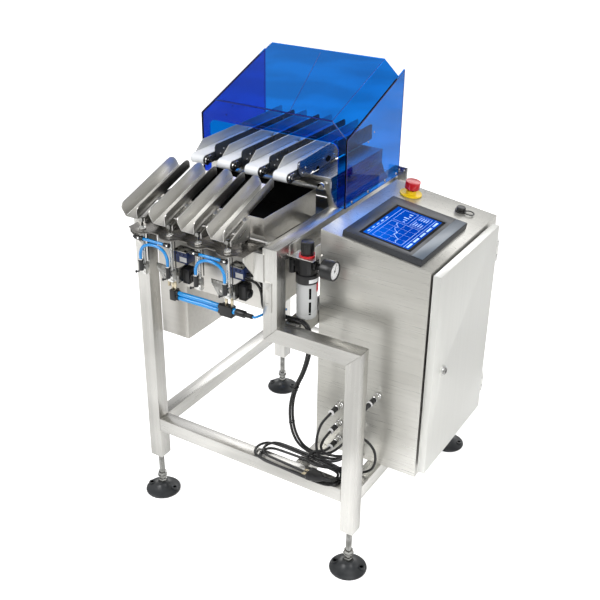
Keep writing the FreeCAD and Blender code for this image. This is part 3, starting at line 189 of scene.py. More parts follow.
# %% [markdown]
# ## Finishes
# Each finish is a Principled shader with its constant values set on its own
# sockets, and one or two effects feeding the colour, the roughness and the bump.

# %% Shared steps for a finish
def finish(name, **constants):
    """A material with a Principled shader whose plain sockets are set by name."""
    material = bpy.data.materials.new(name)
    material.use_nodes = True
    shader = material.node_tree.nodes["Principled BSDF"]
    for label, value in constants.items():
        shader.inputs[label.replace("_", " ")].default_value = value
    return material, material.node_tree, shader


def feed(tree, shader, **sockets):
    """Effects led into the shader's inputs by name."""
    for label, socket in sockets.items():
        tree.links.new(socket, shader.inputs[label.replace("_", " ")])


def use(tree, group, **values):
    """An effect placed in a material with its own values."""
    return add(tree, "ShaderNodeGroup", node_tree=group, **values)


def blend_colours(tree, mask, first, second):
    """A colour that goes from the first to the second with a mask."""
    mix = add(tree, "ShaderNodeMix", data_type="RGBA")
    mix.inputs[6].default_value = first
    mix.inputs[7].default_value = second
    tree.links.new(mask, mix.inputs[0])
    return mix.outputs[2]


def two_tones(tree, first, second, size, low=0.3, high=0.7):
    """A colour of two close tones in slow patches, and the patches' mask."""
    mask = use(tree, tone_and_reflection, Size=size, Low=low, High=high).outputs["Mask"]
    return blend_colours(tree, mask, seen(*first), seen(*second)), mask


def spread_value(tree, mask, low, high, start=0.3, end=0.7):
    """A value that goes from low to high while a mask goes from start to end."""
    reach = add(tree, "ShaderNodeMapRange", From_Min=start, From_Max=end, To_Min=low, To_Max=high)
    tree.links.new(mask, reach.inputs["Value"])
    return reach.outputs["Result"]


def shade(tree, colour, mask, *span):
    """A colour made darker or lighter by a mask, over the span of values that spread_value takes."""
    scale = add(tree, "ShaderNodeVectorMath", operation="SCALE")
    tree.links.new(colour, scale.inputs[0])
    tree.links.new(spread_value(tree, mask, *span), scale.inputs["Scale"])
    return scale.outputs[0]


def painted_shade_by_height(tree, colour, full_z, dark_z, darkest):
    """A colour painted darker from one height in metres to another: painted shade, as under a cover."""
    parts = add(tree, "ShaderNodeSeparateXYZ")
    wire(tree, (add(tree, "ShaderNodeTexCoord"), "Object", parts, 0))
    return shade(tree, colour, parts.outputs["Z"], 1.0, darkest, full_z, dark_z)


def raise_skin(tree, shader, height, distance, strength):
    """Small relief in the shader's normal."""
    bump = add(tree, "ShaderNodeBump", Distance=distance, Strength=strength)
    tree.links.new(height, bump.inputs["Height"])
    feed(tree, shader, Normal=bump.outputs["Normal"])


# %% [markdown]
# ### Brushed stainless steel
# Almost everything that carries load is brushed stainless tube or sheet. The
# scratches run along each tube, so there are three versions of the same finish,
# and others for the chutes, the bin, the door and the cabinet, which mirror other
# things. The wide streaks shade the colour a little and the fine scratches move
# the roughness and the relief.

# %% Brushed steel
ALONG_X, ALONG_Y, ALONG_Z = (10.0, 700.0, 700.0), (700.0, 10.0, 700.0), (700.0, 700.0, 10.0)
CHUTE_SLOPE = math.radians(18.3)
TUBE_TONES = ((0.89, 0.885, 0.87), (0.78, 0.775, 0.76))


def brushed_steel(name, stretch, light, dark, rough=(0.24, 0.38), streaks=(0.94, 1.04), size=2.6, tilt=0.0,
                  shaded=None, metal=1.0, relief=0.00012):
    """Steel in two tones, a painted reflection, with scratches; shaded says where painted shade darkens it with
    height, and how far.
    """
    material, tree, shader = finish(name, Metallic=metal)
    brush = use(tree, brushing, Stretch=stretch, Tilt=tilt)
    colour = two_tones(tree, dark, light, size, 0.38, 0.64)[0]
    if shaded:
        colour = painted_shade_by_height(tree, colour, *shaded)
    feed(tree, shader, Base_Color=shade(tree, colour, brush.outputs["Streaks"], *streaks),
         Roughness=spread_value(tree, brush.outputs["Scratches"], *rough))
    raise_skin(tree, shader, brush.outputs["Scratches"], relief, 0.5)
    return material


steel_x = brushed_steel("brushed_steel_x", ALONG_X, *TUBE_TONES)
steel_y = brushed_steel("brushed_steel_y", ALONG_Y, *TUBE_TONES)
steel_z = brushed_steel("brushed_steel_z", ALONG_Z, *TUBE_TONES)
# Painted shade: the chutes get darker towards their low front ends.
chute_steel = brushed_steel("chute_steel", ALONG_Y, (0.88, 0.875, 0.86), (0.78, 0.775, 0.76), (0.27, 0.35),
                            (0.98, 1.01), 3.0, -CHUTE_SLOPE, (0.93, 0.89, 0.6), relief=0.00001)
cabinet_steel = brushed_steel("cabinet_steel", ALONG_X, (0.90, 0.895, 0.875), (0.76, 0.755, 0.73),
                              (0.26, 0.38), (0.95, 1.04), 2.2, metal=0.7)
door_steel = brushed_steel("door_steel", ALONG_Z, (0.95, 0.95, 0.94), (0.90, 0.90, 0.885), (0.38, 0.46),
                           (0.985, 1.01), 1.6)
# Painted shade: a darker copy of the steel for the side plate and the conveyor skirt.
dark_steel = brushed_steel("shaded_steel", ALONG_Y, (0.60, 0.62, 0.66), (0.48, 0.50, 0.54), (0.24, 0.34),
                           (0.97, 1.02))
# Painted shade: the housings get darker above 0.735 m, under the cylinder plate.
housing_steel = brushed_steel("housing_steel", ALONG_X, (0.88, 0.87, 0.85), (0.80, 0.79, 0.77), (0.28, 0.40),
                              (0.96, 1.03), 2.0, shaded=(0.735, 0.80, 0.42))
plate_steel = brushed_steel("cover_plate_steel", ALONG_X, (0.50, 0.49, 0.475), (0.40, 0.39, 0.38),
                            (0.24, 0.34), (0.97, 1.03), relief=0.00003)
# Painted shade: the cross beams get darker above 0.735 m, under the deck.
beam_steel = brushed_steel("cross_beam_steel", ALONG_X, *TUBE_TONES, shaded=(0.735, 0.79, 0.40))
guide_steel = brushed_steel("guide_steel", ALONG_Y, (0.90, 0.90, 0.89), (0.82, 0.82, 0.81), (0.36, 0.46),
                            (0.97, 1.02), metal=0.75, relief=0.00003)
bin_steel = brushed_steel("bin_steel", ALONG_X, (0.86, 0.85, 0.83), (0.74, 0.73, 0.70), (0.26, 0.36),
                          (0.97, 1.03))
print("steels", sum("steel" in material.name for material in bpy.data.materials))

# %% [markdown]
# ### Bright metal, aluminium and brass
# Studs, nuts, rods and screws are plated and shine more. A fine, slow change of
# roughness keeps the highlight from being perfect.


# %% Small metal pieces
def bright_metal(name, colour, worn, rough):
    """Smooth metal in two tones, a little rougher where it is worn."""
    material, tree, shader = finish(name, Metallic=1.0)
    tones, mask = two_tones(tree, worn, colour, 60.0)
    feed(tree, shader, Base_Color=tones, Roughness=spread_value(tree, mask, rough * 1.4, rough * 0.8))
    return material


plated = bright_metal("zinc_plated_steel", (0.64, 0.64, 0.63), (0.50, 0.50, 0.49), 0.15)
bright = bright_metal("bright_steel", (0.86, 0.86, 0.855), (0.74, 0.74, 0.735), 0.13)
aluminium = bright_metal("satin_aluminium", (0.92, 0.92, 0.91), (0.84, 0.84, 0.83), 0.28)
brass = bright_metal("nickelled_brass", (0.88, 0.84, 0.74), (0.76, 0.71, 0.60), 0.24)
print("metals", plated.name, bright.name, aluminium.name, brass.name)

# %% [markdown]
# ### Plastics, rubber and paint
# The feet, the knob, the fittings and the cables are black, but not the same
# black: rubber is dull, a moulded knob has a soft shine and the cable a sharper
# one. Each has two close tones and the moulded pebble.


# %% Plastics
def plastic(name, colour, worn, rough, coat=0.0, specular=0.5):
    """Moulded plastic in two close tones, with a pebble and, if asked, a gloss on top."""
    material, tree, shader = finish(name, Coat_Weight=coat, Coat_Roughness=0.12, Specular_IOR_Level=specular)
    tones, mask = two_tones(tree, colour, worn, 9.0, 0.35)
    feed(tree, shader, Base_Color=tones, Roughness=spread_value(tree, mask, rough * 0.9, rough * 1.15))
    raise_skin(tree, shader, use(tree, moulded).outputs["Pebble"], 0.0001, 0.4)
    return material


black = plastic("black_plastic", (0.10, 0.10, 0.105), (0.14, 0.14, 0.145), 0.36)
foot_black = plastic("foot_black", (0.13, 0.14, 0.15), (0.19, 0.20, 0.21), 0.34)
cable_black = plastic("cable_sheath", (0.09, 0.09, 0.095), (0.13, 0.13, 0.135), 0.30)
dark_metal = plastic("dark_anodised", (0.14, 0.16, 0.19), (0.19, 0.215, 0.25), 0.30)
bezel_grey = plastic("bezel_grey", (0.15, 0.16, 0.18), (0.19, 0.20, 0.22), 0.42)
band_grey = plastic("bezel_band_grey", (0.33, 0.37, 0.42), (0.38, 0.43, 0.48), 0.32, coat=0.3)
# A flat black for black parts and print, also used as painted shade in holes, windows and the bin.
pit_black = plastic("deep_black", (0.03, 0.03, 0.03), (0.05, 0.05, 0.05), 0.5, specular=0.05)
red_plastic = plastic("red_plastic", (0.80, 0.10, 0.14), (0.74, 0.08, 0.12), 0.32, coat=0.3)
yellow_plastic = plastic("yellow_plastic", (0.93, 0.80, 0.08), (0.88, 0.74, 0.06), 0.40)
belt_white = plastic("belt_white", (0.92, 0.93, 0.94), (0.86, 0.87, 0.885), 0.45)
blue_body = plastic("blue_valve", (0.08, 0.16, 0.36), (0.11, 0.21, 0.44), 0.35, coat=0.2)
bowl_grey = plastic("bowl_guard", (0.76, 0.765, 0.765), (0.69, 0.695, 0.695), 0.30, coat=0.2)
white_plastic = plastic("white_plastic", (0.93, 0.93, 0.93), (0.88, 0.88, 0.88), 0.40)
tube_blue = plastic("air_tube_blue", (0.00, 0.54, 0.84), (0.03, 0.60, 0.90), 0.16, coat=0.7)
print("plastics ready")

# %% [markdown]
# ### Clear blue guard
# The hood is clear sheet with a strong blue body. Most light goes through and
# picks up the colour, once for each sheet it crosses, and the two faces give a
# gloss. The sheets keep flat shading, because rounded normals on a flat clear
# sheet bend the light and turn it black.

# %% Clear blue
hood_blue, tree, shader = finish("hood_blue", Transmission_Weight=1.0, IOR=1.25, Specular_IOR_Level=0.35,
                                 Roughness=0.02, Metallic=0.0)
feed(tree, shader, Base_Color=two_tones(tree, (0.02, 0.49, 0.90), (0.02, 0.455, 0.875), 2.2)[0])
hood_edge = plastic("hood_edge_blue", (0.02, 0.12, 0.46), (0.03, 0.16, 0.54), 0.25, coat=0.3)
print("blues ready")

# %% [markdown]
# ### Touch screen
# The lit screen is a plain blue picture that gives a little light of its own. The
# pale lines on it are pieces of their own, made further down.


# %% Screen
def lit(name, first, second, size, **constants):
    """A finish in two tones that also gives its colour as light."""
    material, tree, shader = finish(name, **constants)
    picture = two_tones(tree, first, second, size)[0]
    feed(tree, shader, Base_Color=picture, Emission_Color=picture)
    return material


screen_lit = lit("screen_lit", (0.01, 0.22, 0.62), (0.03, 0.36, 0.80), 6.0, Roughness=0.4,
                 Specular_IOR_Level=0.0, Emission_Strength=0.22)
screen_line = lit("screen_line", (0.42, 0.62, 0.95), (0.62, 0.78, 0.98), 40.0, Roughness=0.3,
                  Emission_Strength=0.35)
print("screen ready")

# %% [markdown]
# ## Loose cables
# Two signal cables leave the valves, pass behind the post and under the pressure
# regulator, and hang in one tied bundle down to the cabinet's plugs. Three short
# links join the plugs, and the mains lead leaves the cabinet, goes round behind
# the leg and lies in a loose coil on the low beam with its plug on top. Each is a
# curve: a quadratic NURBS line whose control points are the cable's own route in
# metres, with a round section. A line with few points bends as a stiff cable
# does, which many short straight runs never do.


# %% A cable as one smooth line
CABLE_WIDTH = 0.007


def cable(name, route):
    """A round cable along one open spline through its route, riding on the machine."""
    curve = bpy.data.curves.new(name, "CURVE")
    curve.dimensions = "3D"
    curve.resolution_u = 10
    curve.bevel_depth = CABLE_WIDTH / 2
    curve.bevel_resolution = 3
    curve.use_fill_caps = True
    spline = curve.splines.new("NURBS")
    spline.points.add(len(route) - 1)
    for point, spot in zip(spline.points, route):
        point.co = (*spot, 1.0)
    spline.order_u = 3
    spline.use_endpoint_u = True
    curve.materials.append(cable_black)
    piece = new_object(name, curve)
    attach(piece, "machine")
    return piece


def centre_line(piece):
    """The points along a cable's middle in metres, read from its spline with no section."""
    bare = piece.copy()
    bare.data = line = piece.data.copy()
    line.bevel_depth = 0.0
    mesh = bpy.data.meshes.new_from_object(bare)
    points = [vertex.co.copy() for vertex in mesh.vertices]
    bpy.data.meshes.remove(mesh)
    bpy.data.objects.remove(bare)
    bpy.data.curves.remove(line)
    return points


def run_length(points):
    """The way along a line of points."""
    return sum((b - a).length for a, b in zip(points, points[1:]))


def metres(piece):
    """A cable's length, to the millimetre."""
    return round(run_length(centre_line(piece)), 3)


# %% Signal cables and the links between the plugs of the cabinet
def hanging_part(back, aside):
    """The stretch that both signal cables share, with the second one in front and to the left."""
    upper = ((0.355, 0.012, 0.742), (0.353, 0.015, 0.706), (0.362, 0.034, 0.683), (0.392, 0.042, 0.6776),
             (0.428, 0.044, 0.6776), (0.458, 0.046, 0.675))
    lower = ((0.470, 0.049, 0.648), (0.469, 0.050, 0.590), (0.456, 0.046, 0.533), (0.434, 0.045, 0.483),
             (0.421, 0.045, 0.432), (0.420, 0.045, 0.384), (0.427, 0.046, 0.341), (0.443, 0.050, 0.306))
    return [*[(x, y - back, z) for x, y, z in upper], *[(x - aside, y - back, z) for x, y, z in lower]]


ROUTES = {
    "signal_cable_upper": [
        (0.3114, 0.004, 0.786), (0.3314, 0.004, 0.786), (0.348, 0.009, 0.776), *hanging_part(0.0, 0.0),
        (0.468, 0.056, 0.287), (0.500, 0.058, 0.285), (0.532, 0.062, 0.300), (0.557, 0.074, 0.330),
        (0.557, 0.0963, 0.330)],
    "signal_cable_lower": [
        (0.3114, -0.005, 0.778), (0.3314, -0.005, 0.778), (0.348, 0.000, 0.768),
        *hanging_part(0.0082, 0.0035), (0.468, 0.047, 0.289), (0.500, 0.046, 0.287), (0.530, 0.050, 0.288),
        (0.552, 0.060, 0.289), (0.557, 0.076, 0.290), (0.557, 0.0963, 0.290)],
    "plug_link_top": [
        (0.519, 0.0723, 0.413), (0.519, 0.056, 0.413), (0.509, 0.040, 0.396), (0.502, 0.032, 0.360),
        (0.502, 0.030, 0.320), (0.514, 0.030, 0.294), (0.542, 0.036, 0.290), (0.575, 0.050, 0.305),
        (0.585, 0.070, 0.340), (0.585, 0.080, 0.352), (0.585, 0.0963, 0.352)],
    "plug_link_middle": [
        (0.519, 0.0723, 0.356), (0.519, 0.060, 0.356), (0.511, 0.046, 0.338), (0.508, 0.042, 0.318),
        (0.520, 0.044, 0.304), (0.548, 0.048, 0.304), (0.575, 0.062, 0.306), (0.585, 0.076, 0.312),
        (0.585, 0.0963, 0.312)],
    "plug_link_low": [
        (0.519, 0.0723, 0.306), (0.519, 0.062, 0.306), (0.508, 0.054, 0.301), (0.492, 0.050, 0.299),
        (0.480, 0.040, 0.292), (0.477, 0.026, 0.285), (0.490, 0.014, 0.2835), (0.515, 0.012, 0.2835),
        (0.545, 0.020, 0.2835), (0.574, 0.036, 0.284), (0.587, 0.058, 0.280), (0.585, 0.078, 0.278),
        (0.585, 0.0963, 0.278)]}
laid = {name: cable(name, route) for name, route in ROUTES.items()}
for name, piece in laid.items():
    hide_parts("cable_bundle")
    metres(piece)
    print(name, metres(piece))

# %% [markdown]
# ### Mains lead
# The coil's turns are more points of the same spline. A turn is two straight
# runs and two bends, as a lead lies when it was wound over a hand. Each turn is
# a little inside the one before, and the last one climbs on top of the others
# and goes round into the plug.

# %% The turns of the coil
COIL_MIDDLE = 0.010
COIL_ENDS = (0.374, 0.549)
BEND = 0.034
RUN = (0.403, 0.4615, 0.520)


def on_bend(end, degrees, spread, height):
    """A control point on one of the coil's two bends, a little outside so that the line keeps its size."""
    reach = (BEND + spread) / 0.94
    angle = math.radians(degrees)
    return (end + reach * math.cos(angle), COIL_MIDDLE + reach * math.sin(angle), height)


def one_turn(spreads, heights, shorter, aside, lifted):
    """Fourteen control points of a turn: right bend, front run, left bend, back run, right bend.

    The left end can lie short of the others, to one side of them and a little higher.
    """
    low, high = COIL_ENDS[0] + shorter, COIL_ENDS[1]
    stations = [(high, 20), (high, -20), (high, -60), *[(x, "front") for x in RUN[::-1]],
                (low, -120), (low, -160), (low, 160), (low, 120), *[(x, "back") for x in RUN], (high, 60)]
    turn_points = []
    for step, (x, where) in enumerate(stations):
        part = step / len(stations)
        spread = spreads[0] + (spreads[1] - spreads[0]) * part
        height = heights[0] + (heights[1] - heights[0]) * min(1.0, part * 3.0)
        side = {"front": -1, "back": 1}.get(where)
        x, y, z = (x, COIL_MIDDLE + side * (BEND + spread), height) if side else on_bend(x, where, spread, height)
        towards_left = min(1.0, max(0.0, (high - x) / (high - low)))
        turn_points.append((x, y + aside * towards_left, z + lifted * towards_left))
    return turn_points


coil = [*one_turn((0.009, 0.001), (0.2692, 0.2692), -0.005, 0.003, 0.003),
        *one_turn((0.001, -0.007), (0.2692, 0.2692), 0.007, -0.005, 0.0),
        *one_turn((-0.007, 0.004), (0.2700, 0.2762), 0.012, 0.005, 0.004)]
print("points in the coil", len(coil))

# %% The mains lead and its plug's end
MAINS_EXIT = (0.627, 0.0723, 0.478)
mains_lead = cable("mains_lead", [
    MAINS_EXIT, (0.627, 0.058, 0.478), (0.612, 0.048, 0.452), (0.601, 0.049, 0.418), (0.608, 0.054, 0.388),
    (0.634, 0.060, 0.378), (0.656, 0.061, 0.356), (0.660, 0.061, 0.322), (0.648, 0.063, 0.290),
    (0.624, 0.062, 0.2735), (0.602, 0.057, 0.2715), (0.5925, 0.043, 0.2700), *coil,
    on_bend(COIL_ENDS[1], 20, 0.006, 0.2772), on_bend(COIL_ENDS[1], -20, 0.007, 0.2810),
    on_bend(COIL_ENDS[1], -58, 0.007, 0.2868), (0.556, -0.031, 0.2886), (0.546, -0.031, 0.2886)])
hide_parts("cable_bundle", "cable_coil")
print("mains lead", metres(mains_lead))

# %% [markdown]
# ## Small pieces in mesh code
# The pieces from here on are drawn in millimetres and scaled to metres when they
# are shown. A piece is a list of strokes: each is a drawing function and what it
# is given. A turned form, a flat plate, a bar, a bent band and a sleeve along a
# cable are enough for nearly all of them.


# %% Shapes in millimetres
TO_RIGHT, TO_LEFT, TO_FRONT, TO_BACK, TO_TOP = (1, 0, 0), (-1, 0, 0), (0, -1, 0), (0, 1, 0), (0, 0, 1)


def round_edges(piece, width, corner, angle):
    """Small rounded edges, and smooth shading that breaks at sharper corners."""
    for polygon in piece.data.polygons:
        polygon.use_smooth = True
    if width > 0:
        bevel = piece.modifiers.new("round", "BEVEL")
        bevel.width = width
        bevel.segments = 2
        bevel.limit_method = "ANGLE"
        bevel.angle_limit = math.radians(corner)
    split = piece.modifiers.new("split", "EDGE_SPLIT")
    split.split_angle = math.radians(angle)
    return split


def form(name, dress, strokes, body="machine", rounding=0.0, angle=32.0):
    """A piece made of strokes, scaled to metres, that rides on a body."""
    shape = bmesh.new()
    for draw, *given in strokes:
        draw(shape, *given)
    bmesh.ops.recalc_face_normals(shape, faces=shape.faces)
    bmesh.ops.scale(shape, vec=(0.001, 0.001, 0.001), verts=shape.verts)
    mesh = bpy.data.meshes.new(name)
    shape.to_mesh(mesh)
    shape.free()
    mesh.materials.append(dress)
    piece = new_object(name, mesh)
    round_edges(piece, rounding * 0.001, 40, angle)
    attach(piece, body)
    return piece


def loft(shape, rings, loop=False):
    """Faces between rings of points that follow each other; a ring of one point is a tip."""
    rings = [[shape.verts.new(spot) for spot in ring] for ring in rings]
    for low, high in zip(rings, rings[1:] + (rings[:1] if loop else [])):
        for k in range(max(len(low), len(high))):
            corners = [low[k % len(low)], low[(k + 1) % len(low)], high[(k + 1) % len(high)], high[k % len(high)]]
            unique = list(dict.fromkeys(corners))
            if len(unique) > 2:
                shape.faces.new(unique)
    for ring in (rings[0], rings[-1]):
        if not loop and len(ring) > 2:
            shape.faces.new(ring)


def circle(middle, axis, across, radius, sides):
    """Points on a circle round an axis."""
    other = axis.cross(across)
    return [middle + (across * math.cos(a) + other * math.sin(a)) * radius
            for a in [2 * math.pi * k / sides for k in range(sides)]]


def turned(shape, profile, place, outward, sides=24):
    """A turned form: (radius, height) pairs run round an axis that points outward from a place."""
    axis = Vector(outward).normalized()
    across = axis.orthogonal().normalized()
    loft(shape, [circle(Vector(place) + axis * height, axis, across, radius, sides if radius else 1)
                 for radius, height in profile])


def disc(shape, radius, place, outward, sides):
    """A thin round spot on a face."""
    turned(shape, [(radius, 0), (radius, 0.3), (0, 0.3)], place, outward, sides)


def plate(shape, outline, thick, outward):
    """A flat plate: an outline of points on its back face, and a thickness along outward."""
    lift = Vector(outward).normalized() * thick
    loft(shape, [outline, [Vector(spot) + lift for spot in outline]])


def bar_on(shape, start, end, width, thick, outward):
    """A flat bar from start to end, lying on a face that looks outward."""
    start, end, outward = Vector(start), Vector(end), Vector(outward).normalized()
    across = (end - start).normalized().cross(outward) * width / 2
    plate(shape, [start - across, start + across, end + across, end - across], thick, outward)


def section(middle, out, along, reach, push):
    """Four corners of a band: reach is how far out from the middle, push how far along."""
    corners = ((reach[0], push[0]), (reach[1], push[0]), (reach[1], push[1]), (reach[0], push[1]))
    return [middle + out * far + along * side for far, side in corners]


def bent_band(shape, middle, axis, first, headings, steps, reach, push):
    """A band bent round an axis, between two headings in degrees from the first direction."""
    middle, axis, first = Vector(middle), Vector(axis), Vector(first)
    angles = [math.radians(headings[0] + (headings[1] - headings[0]) * k / (steps - 1)) for k in range(steps)]
    loft(shape, [section(middle, first * math.cos(a) + axis.cross(first) * math.sin(a), axis, reach, push)
                 for a in angles])


def sleeve_along(shape, points, radii, sides=14):
    """A round sleeve of changing radius that follows points."""
    rings = []
    for k, (spot, radius) in enumerate(zip(points, radii)):
        axis = (points[min(k + 1, len(points) - 1)] - points[max(k - 1, 0)]).normalized()
        rings.append(circle(spot, axis, axis.cross(Vector((0.25, 0.31, 0.92))).normalized(), radius, sides))
    loft(shape, rings)


print("helpers ready")

# %% [markdown]
# ### Plug and strain reliefs
# The plug is a moulded body with a waist for the fingers, lofted through rounded
# sections, with flat pins. Where the lead enters it, and where it leaves the
# cabinet, a ribbed sleeve tapers along the cable. The sleeves follow the cable's
# own line, so they bend with it.

# %% Plug
PLUG_Y, PLUG_Z = -31.0, 288.6


def rounded_section(x, half_width, half_height, corner):
    """A rounded rectangle across the plug at x, as points."""
    points = []
    for side_y, side_z, start in ((1, 1, 0), (-1, 1, 90), (-1, -1, 180), (1, -1, 270)):
        for angle in [math.radians(start + step * 30) for step in range(4)]:
            points.append((x, PLUG_Y + side_y * (half_width - corner) + corner * math.cos(angle),
                           PLUG_Z + side_z * (half_height - corner) + corner * math.sin(angle)))
    return points


PLUG_SECTIONS = ((516, 17.5, 7.6, 3), (518, 18.9, 8.9, 4), (529, 18.9, 8.9, 4), (536, 15.5, 7.8, 4),
                 (545, 14.5, 7.4, 4), (553, 11.0, 7.0, 5), (560, 7.2, 6.6, 6))
plug = form("plug_body", black, [(loft, [rounded_section(*each) for each in PLUG_SECTIONS])], rounding=0.6)
pins = form("plug_pins", brass, [(bar_on, (516.2, y, z), (501.2, y, z), width, 1.6, TO_TOP) for y, z, width in (
    (-39.0, 287.6, 6.3), (-23.0, 287.6, 6.3), (-31.0, 284.6, 5.0))], rounding=0.4)
print("plug", len(plug.data.polygons), "pins", len(pins.data.polygons))

# %% Strain reliefs
lead_line = [point * 1000 for point in centre_line(mains_lead)]


def ribbed(count):
    """Radii of a tapered sleeve with ribs, from its thick end to its thin end."""
    taper = [6.6 - 2.4 * k / (count - 1) for k in range(count)]
    return [size - (0.7 if k % 2 and 1 < k < count - 2 else 0.0) for k, size in enumerate(taper)]


def stretch_of(points, start, end, step=2):
    """Points every step millimetres along a line, between two distances from its start."""
    found, travelled, wanted = [], 0.0, start
    for low, high in zip(points, points[1:]):
        reach = (high - low).length
        while wanted <= end and travelled + reach >= wanted:
            found.append(low.lerp(high, (wanted - travelled) / reach))
            wanted += step
        travelled += reach
    return found


whole = run_length(lead_line)
near_plug = stretch_of(lead_line, whole - 45, whole - 11)
near_wall = stretch_of(lead_line, 0.5, 34)
plug_relief = form("plug_relief", black, [(sleeve_along, near_plug, ribbed(len(near_plug))[::-1])])
form("mains_relief", black, [(sleeve_along, near_wall, ribbed(len(near_wall)))])
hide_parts("power_plug")
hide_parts("power_plug")
metres(mains_lead)
print("reliefs", len(near_plug), len(near_wall))

# %% [markdown]
# ### Cable ties
# Narrow ties hold the two hanging cables together. A tie is a flat band round
# both, with a square head and a cut tail. Its place comes from the cables' lines:
# the two points at one height.

# %% Cable ties
upper_line, lower_line = [[point * 1000 for point in centre_line(laid[name])]
                          for name in ("signal_cable_upper", "signal_cable_lower")]


def crossing(line, height):
    """The first point of a falling line at a height, and the way it runs there."""
    for low, high in zip(line, line[1:]):
        if low.z >= height > high.z:
            return low.lerp(high, (low.z - height) / (low.z - high.z)), (high - low).normalized()


def tie(shape, height):
    """A tie round both cables at a height."""
    first, along = crossing(upper_line, height)
    second = crossing(lower_line, height)[0]
    side_way = (second - first).normalized()
    out_way = along.cross(side_way).normalized()
    loft(shape, [section(second if math.cos(a) > 0 else first, side_way * math.cos(a) + out_way * math.sin(a),
                         along, (3.5, 4.4), (-1.3, 1.3))
                 for a in [math.radians(degrees) for degrees in range(0, 360, 20)]], loop=True)
    head = (first + second) / 2 - out_way * 3.6
    bar_on(shape, head - side_way * 2.2, head + side_way * 2.2, 4.2, 3.2, -out_way)
    bar_on(shape, head - out_way * 1.4, head - out_way * 9.0 + side_way * 3.0, 2.4, 1.0, side_way)


ties = form("cable_ties", black, [(tie, height) for height in (620, 607, 480, 370)])
print("ties", len(ties.data.polygons))

# %% [markdown]
# ### Plugs on the cabinet
# Nine round industrial plugs sit on the cabinet's front. Each has a nickelled nut
# and body, a black sleeve and, on the long ones, a pale ring where the cable goes
# in. They are turned forms, so one profile each is enough.

# %% Cabinet plugs
CABINET_FACE = 124.7
LONG_PLUGS = [(519, 413), (519, 356), (519, 306), (627, 478)]
SHORT_PLUGS = [(557, 330), (557, 290), (585, 352), (585, 312), (585, 278)]
for name, dress, long_profile, short_profile in (
        ("cabinet_plug_shells", bright,
         [(10, 0), (10, 5.5), (9, 7), (8, 7), (8, 11), (7.3, 12), (7.3, 14), (8, 15), (8, 23.5), (7, 24.3)],
         [(10, 0), (10, 5.5), (9, 7), (7, 7), (7, 9), (6.4, 10), (6.4, 12), (7, 13), (7, 19)]),
        ("cabinet_plug_sleeves", black,
         [(6.9, 24), (7.1, 26), (7.1, 30), (6.5, 31), (6.5, 33), (7.1, 34), (7.0, 44), (6.4, 48)],
         [(6.3, 19), (6.6, 20), (6.4, 24), (4.6, 28.2)]),
        ("cabinet_plug_rings", white_plastic, [(6.2, 47.5), (7.9, 48), (7.9, 51.5), (7.0, 52.3), (3.6, 52.3)],
         None)):
    spots = [(x, z, long_profile) for x, z in LONG_PLUGS]
    if short_profile:
        spots += [(x, z, short_profile) for x, z in SHORT_PLUGS]
    piece = form(name, dress, [(turned, profile, (x, CABINET_FACE, z), TO_FRONT, 18) for x, z, profile in spots])
    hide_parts("cabinet_connectors")
print("plugs", len(LONG_PLUGS) + len(SHORT_PLUGS))

# %% [markdown]
# ## Which solid gets which finish
# Every solid from the frame keeps its place and its shape. It only takes a
# finish, shading by angle and a small bevel, because a real sheet or tube has no
# knife edge and its rounded corners catch the light.

# %% Finishes by solid
CLEAR = "hood_wings hood_front hood_lid"
WEARERS = (
    (steel_x, "deck_ties bin_carriers cross_plates hood_rear_plate regulator_bracket"),
    (steel_y, "side_beams deck_rails"), (steel_z, "legs posts plate_gussets"), (beam_steel, "cross_beams"),
    (plate_steel, "cylinder_plate"), (guide_steel, "lane_guides"), (dark_steel, "side_plate"),
    (bin_steel, "reject_bin"), (housing_steel, "housings"), (cabinet_steel, "cabinet"), (door_steel, "door"),
    (chute_steel, "chute_1 chute_2 chute_3 chute_4"),
    (plated, "chute_bearings valve_plates levelling_spindles"),
    (plated, "cylinder_rod_1 cylinder_rod_2 cylinder_rod_3 cylinder_rod_4"),
    (bright, "tie_shaft door_lock hinge_leaves cabinet_connectors"), (aluminium, "air_cylinders"),
    (brass, "brass_fittings"), (foot_black, "levelling_pads"), (tube_blue, "air_hoses"),
    (black, "air_fittings nose_adjusters service_port regulator regulator_knob pressure_gauge"),
    (cable_black, "cable_bundle cable_coil power_plug"), (dark_metal, "conveyor_beds lane_guards"),
    (blue_body, "valve_blocks control_gear"), (belt_white, "belts"), (bezel_grey, "hmi"),
    (screen_lit, "hmi_screen"), (yellow_plastic, "estop_disc"), (red_plastic, "estop_head regulator_ring"),
    (bowl_grey, "regulator_bowl"), (hood_blue, CLEAR))
FINISH_OF = {name: dress for dress, names in WEARERS for name in names.split()}
print("without a finish:", sorted(set(solids) - set(FINISH_OF)))


# %% Dress the solids
def soften(piece, width):
    """Weld a solid's mesh for show, round its edges a little and shade it by angle."""
    custom = piece.data.attributes.get("custom_normal")
    if custom is not None:
        piece.data.attributes.remove(custom)
    piece.modifiers.new("weld", "WELD").merge_threshold = 0.00002
    round_edges(piece, width, 50, 35.0).use_edge_sharp = False


ROUNDING = {"legs": 0.0014, "posts": 0.0014, "cross_beams": 0.0014, "side_beams": 0.0014, "deck_rails": 0.0014,
            "cabinet": 0.0015, "door": 0.002, "hmi": 0.003, "housings": 0.0015}
for name, piece in solids.items():
    piece.data.materials.clear()
    piece.data.materials.append(FINISH_OF[name])
    if name in CLEAR.split():
        for polygon in piece.data.polygons:
            polygon.use_smooth = False
    else:
        soften(piece, ROUNDING.get(name, 0.0004))
print("dressed", len(solids))

# %% [markdown]
# ## Screws
# Button-head screws are one small turned form with a socket in the middle, put
# wherever the machine has one.

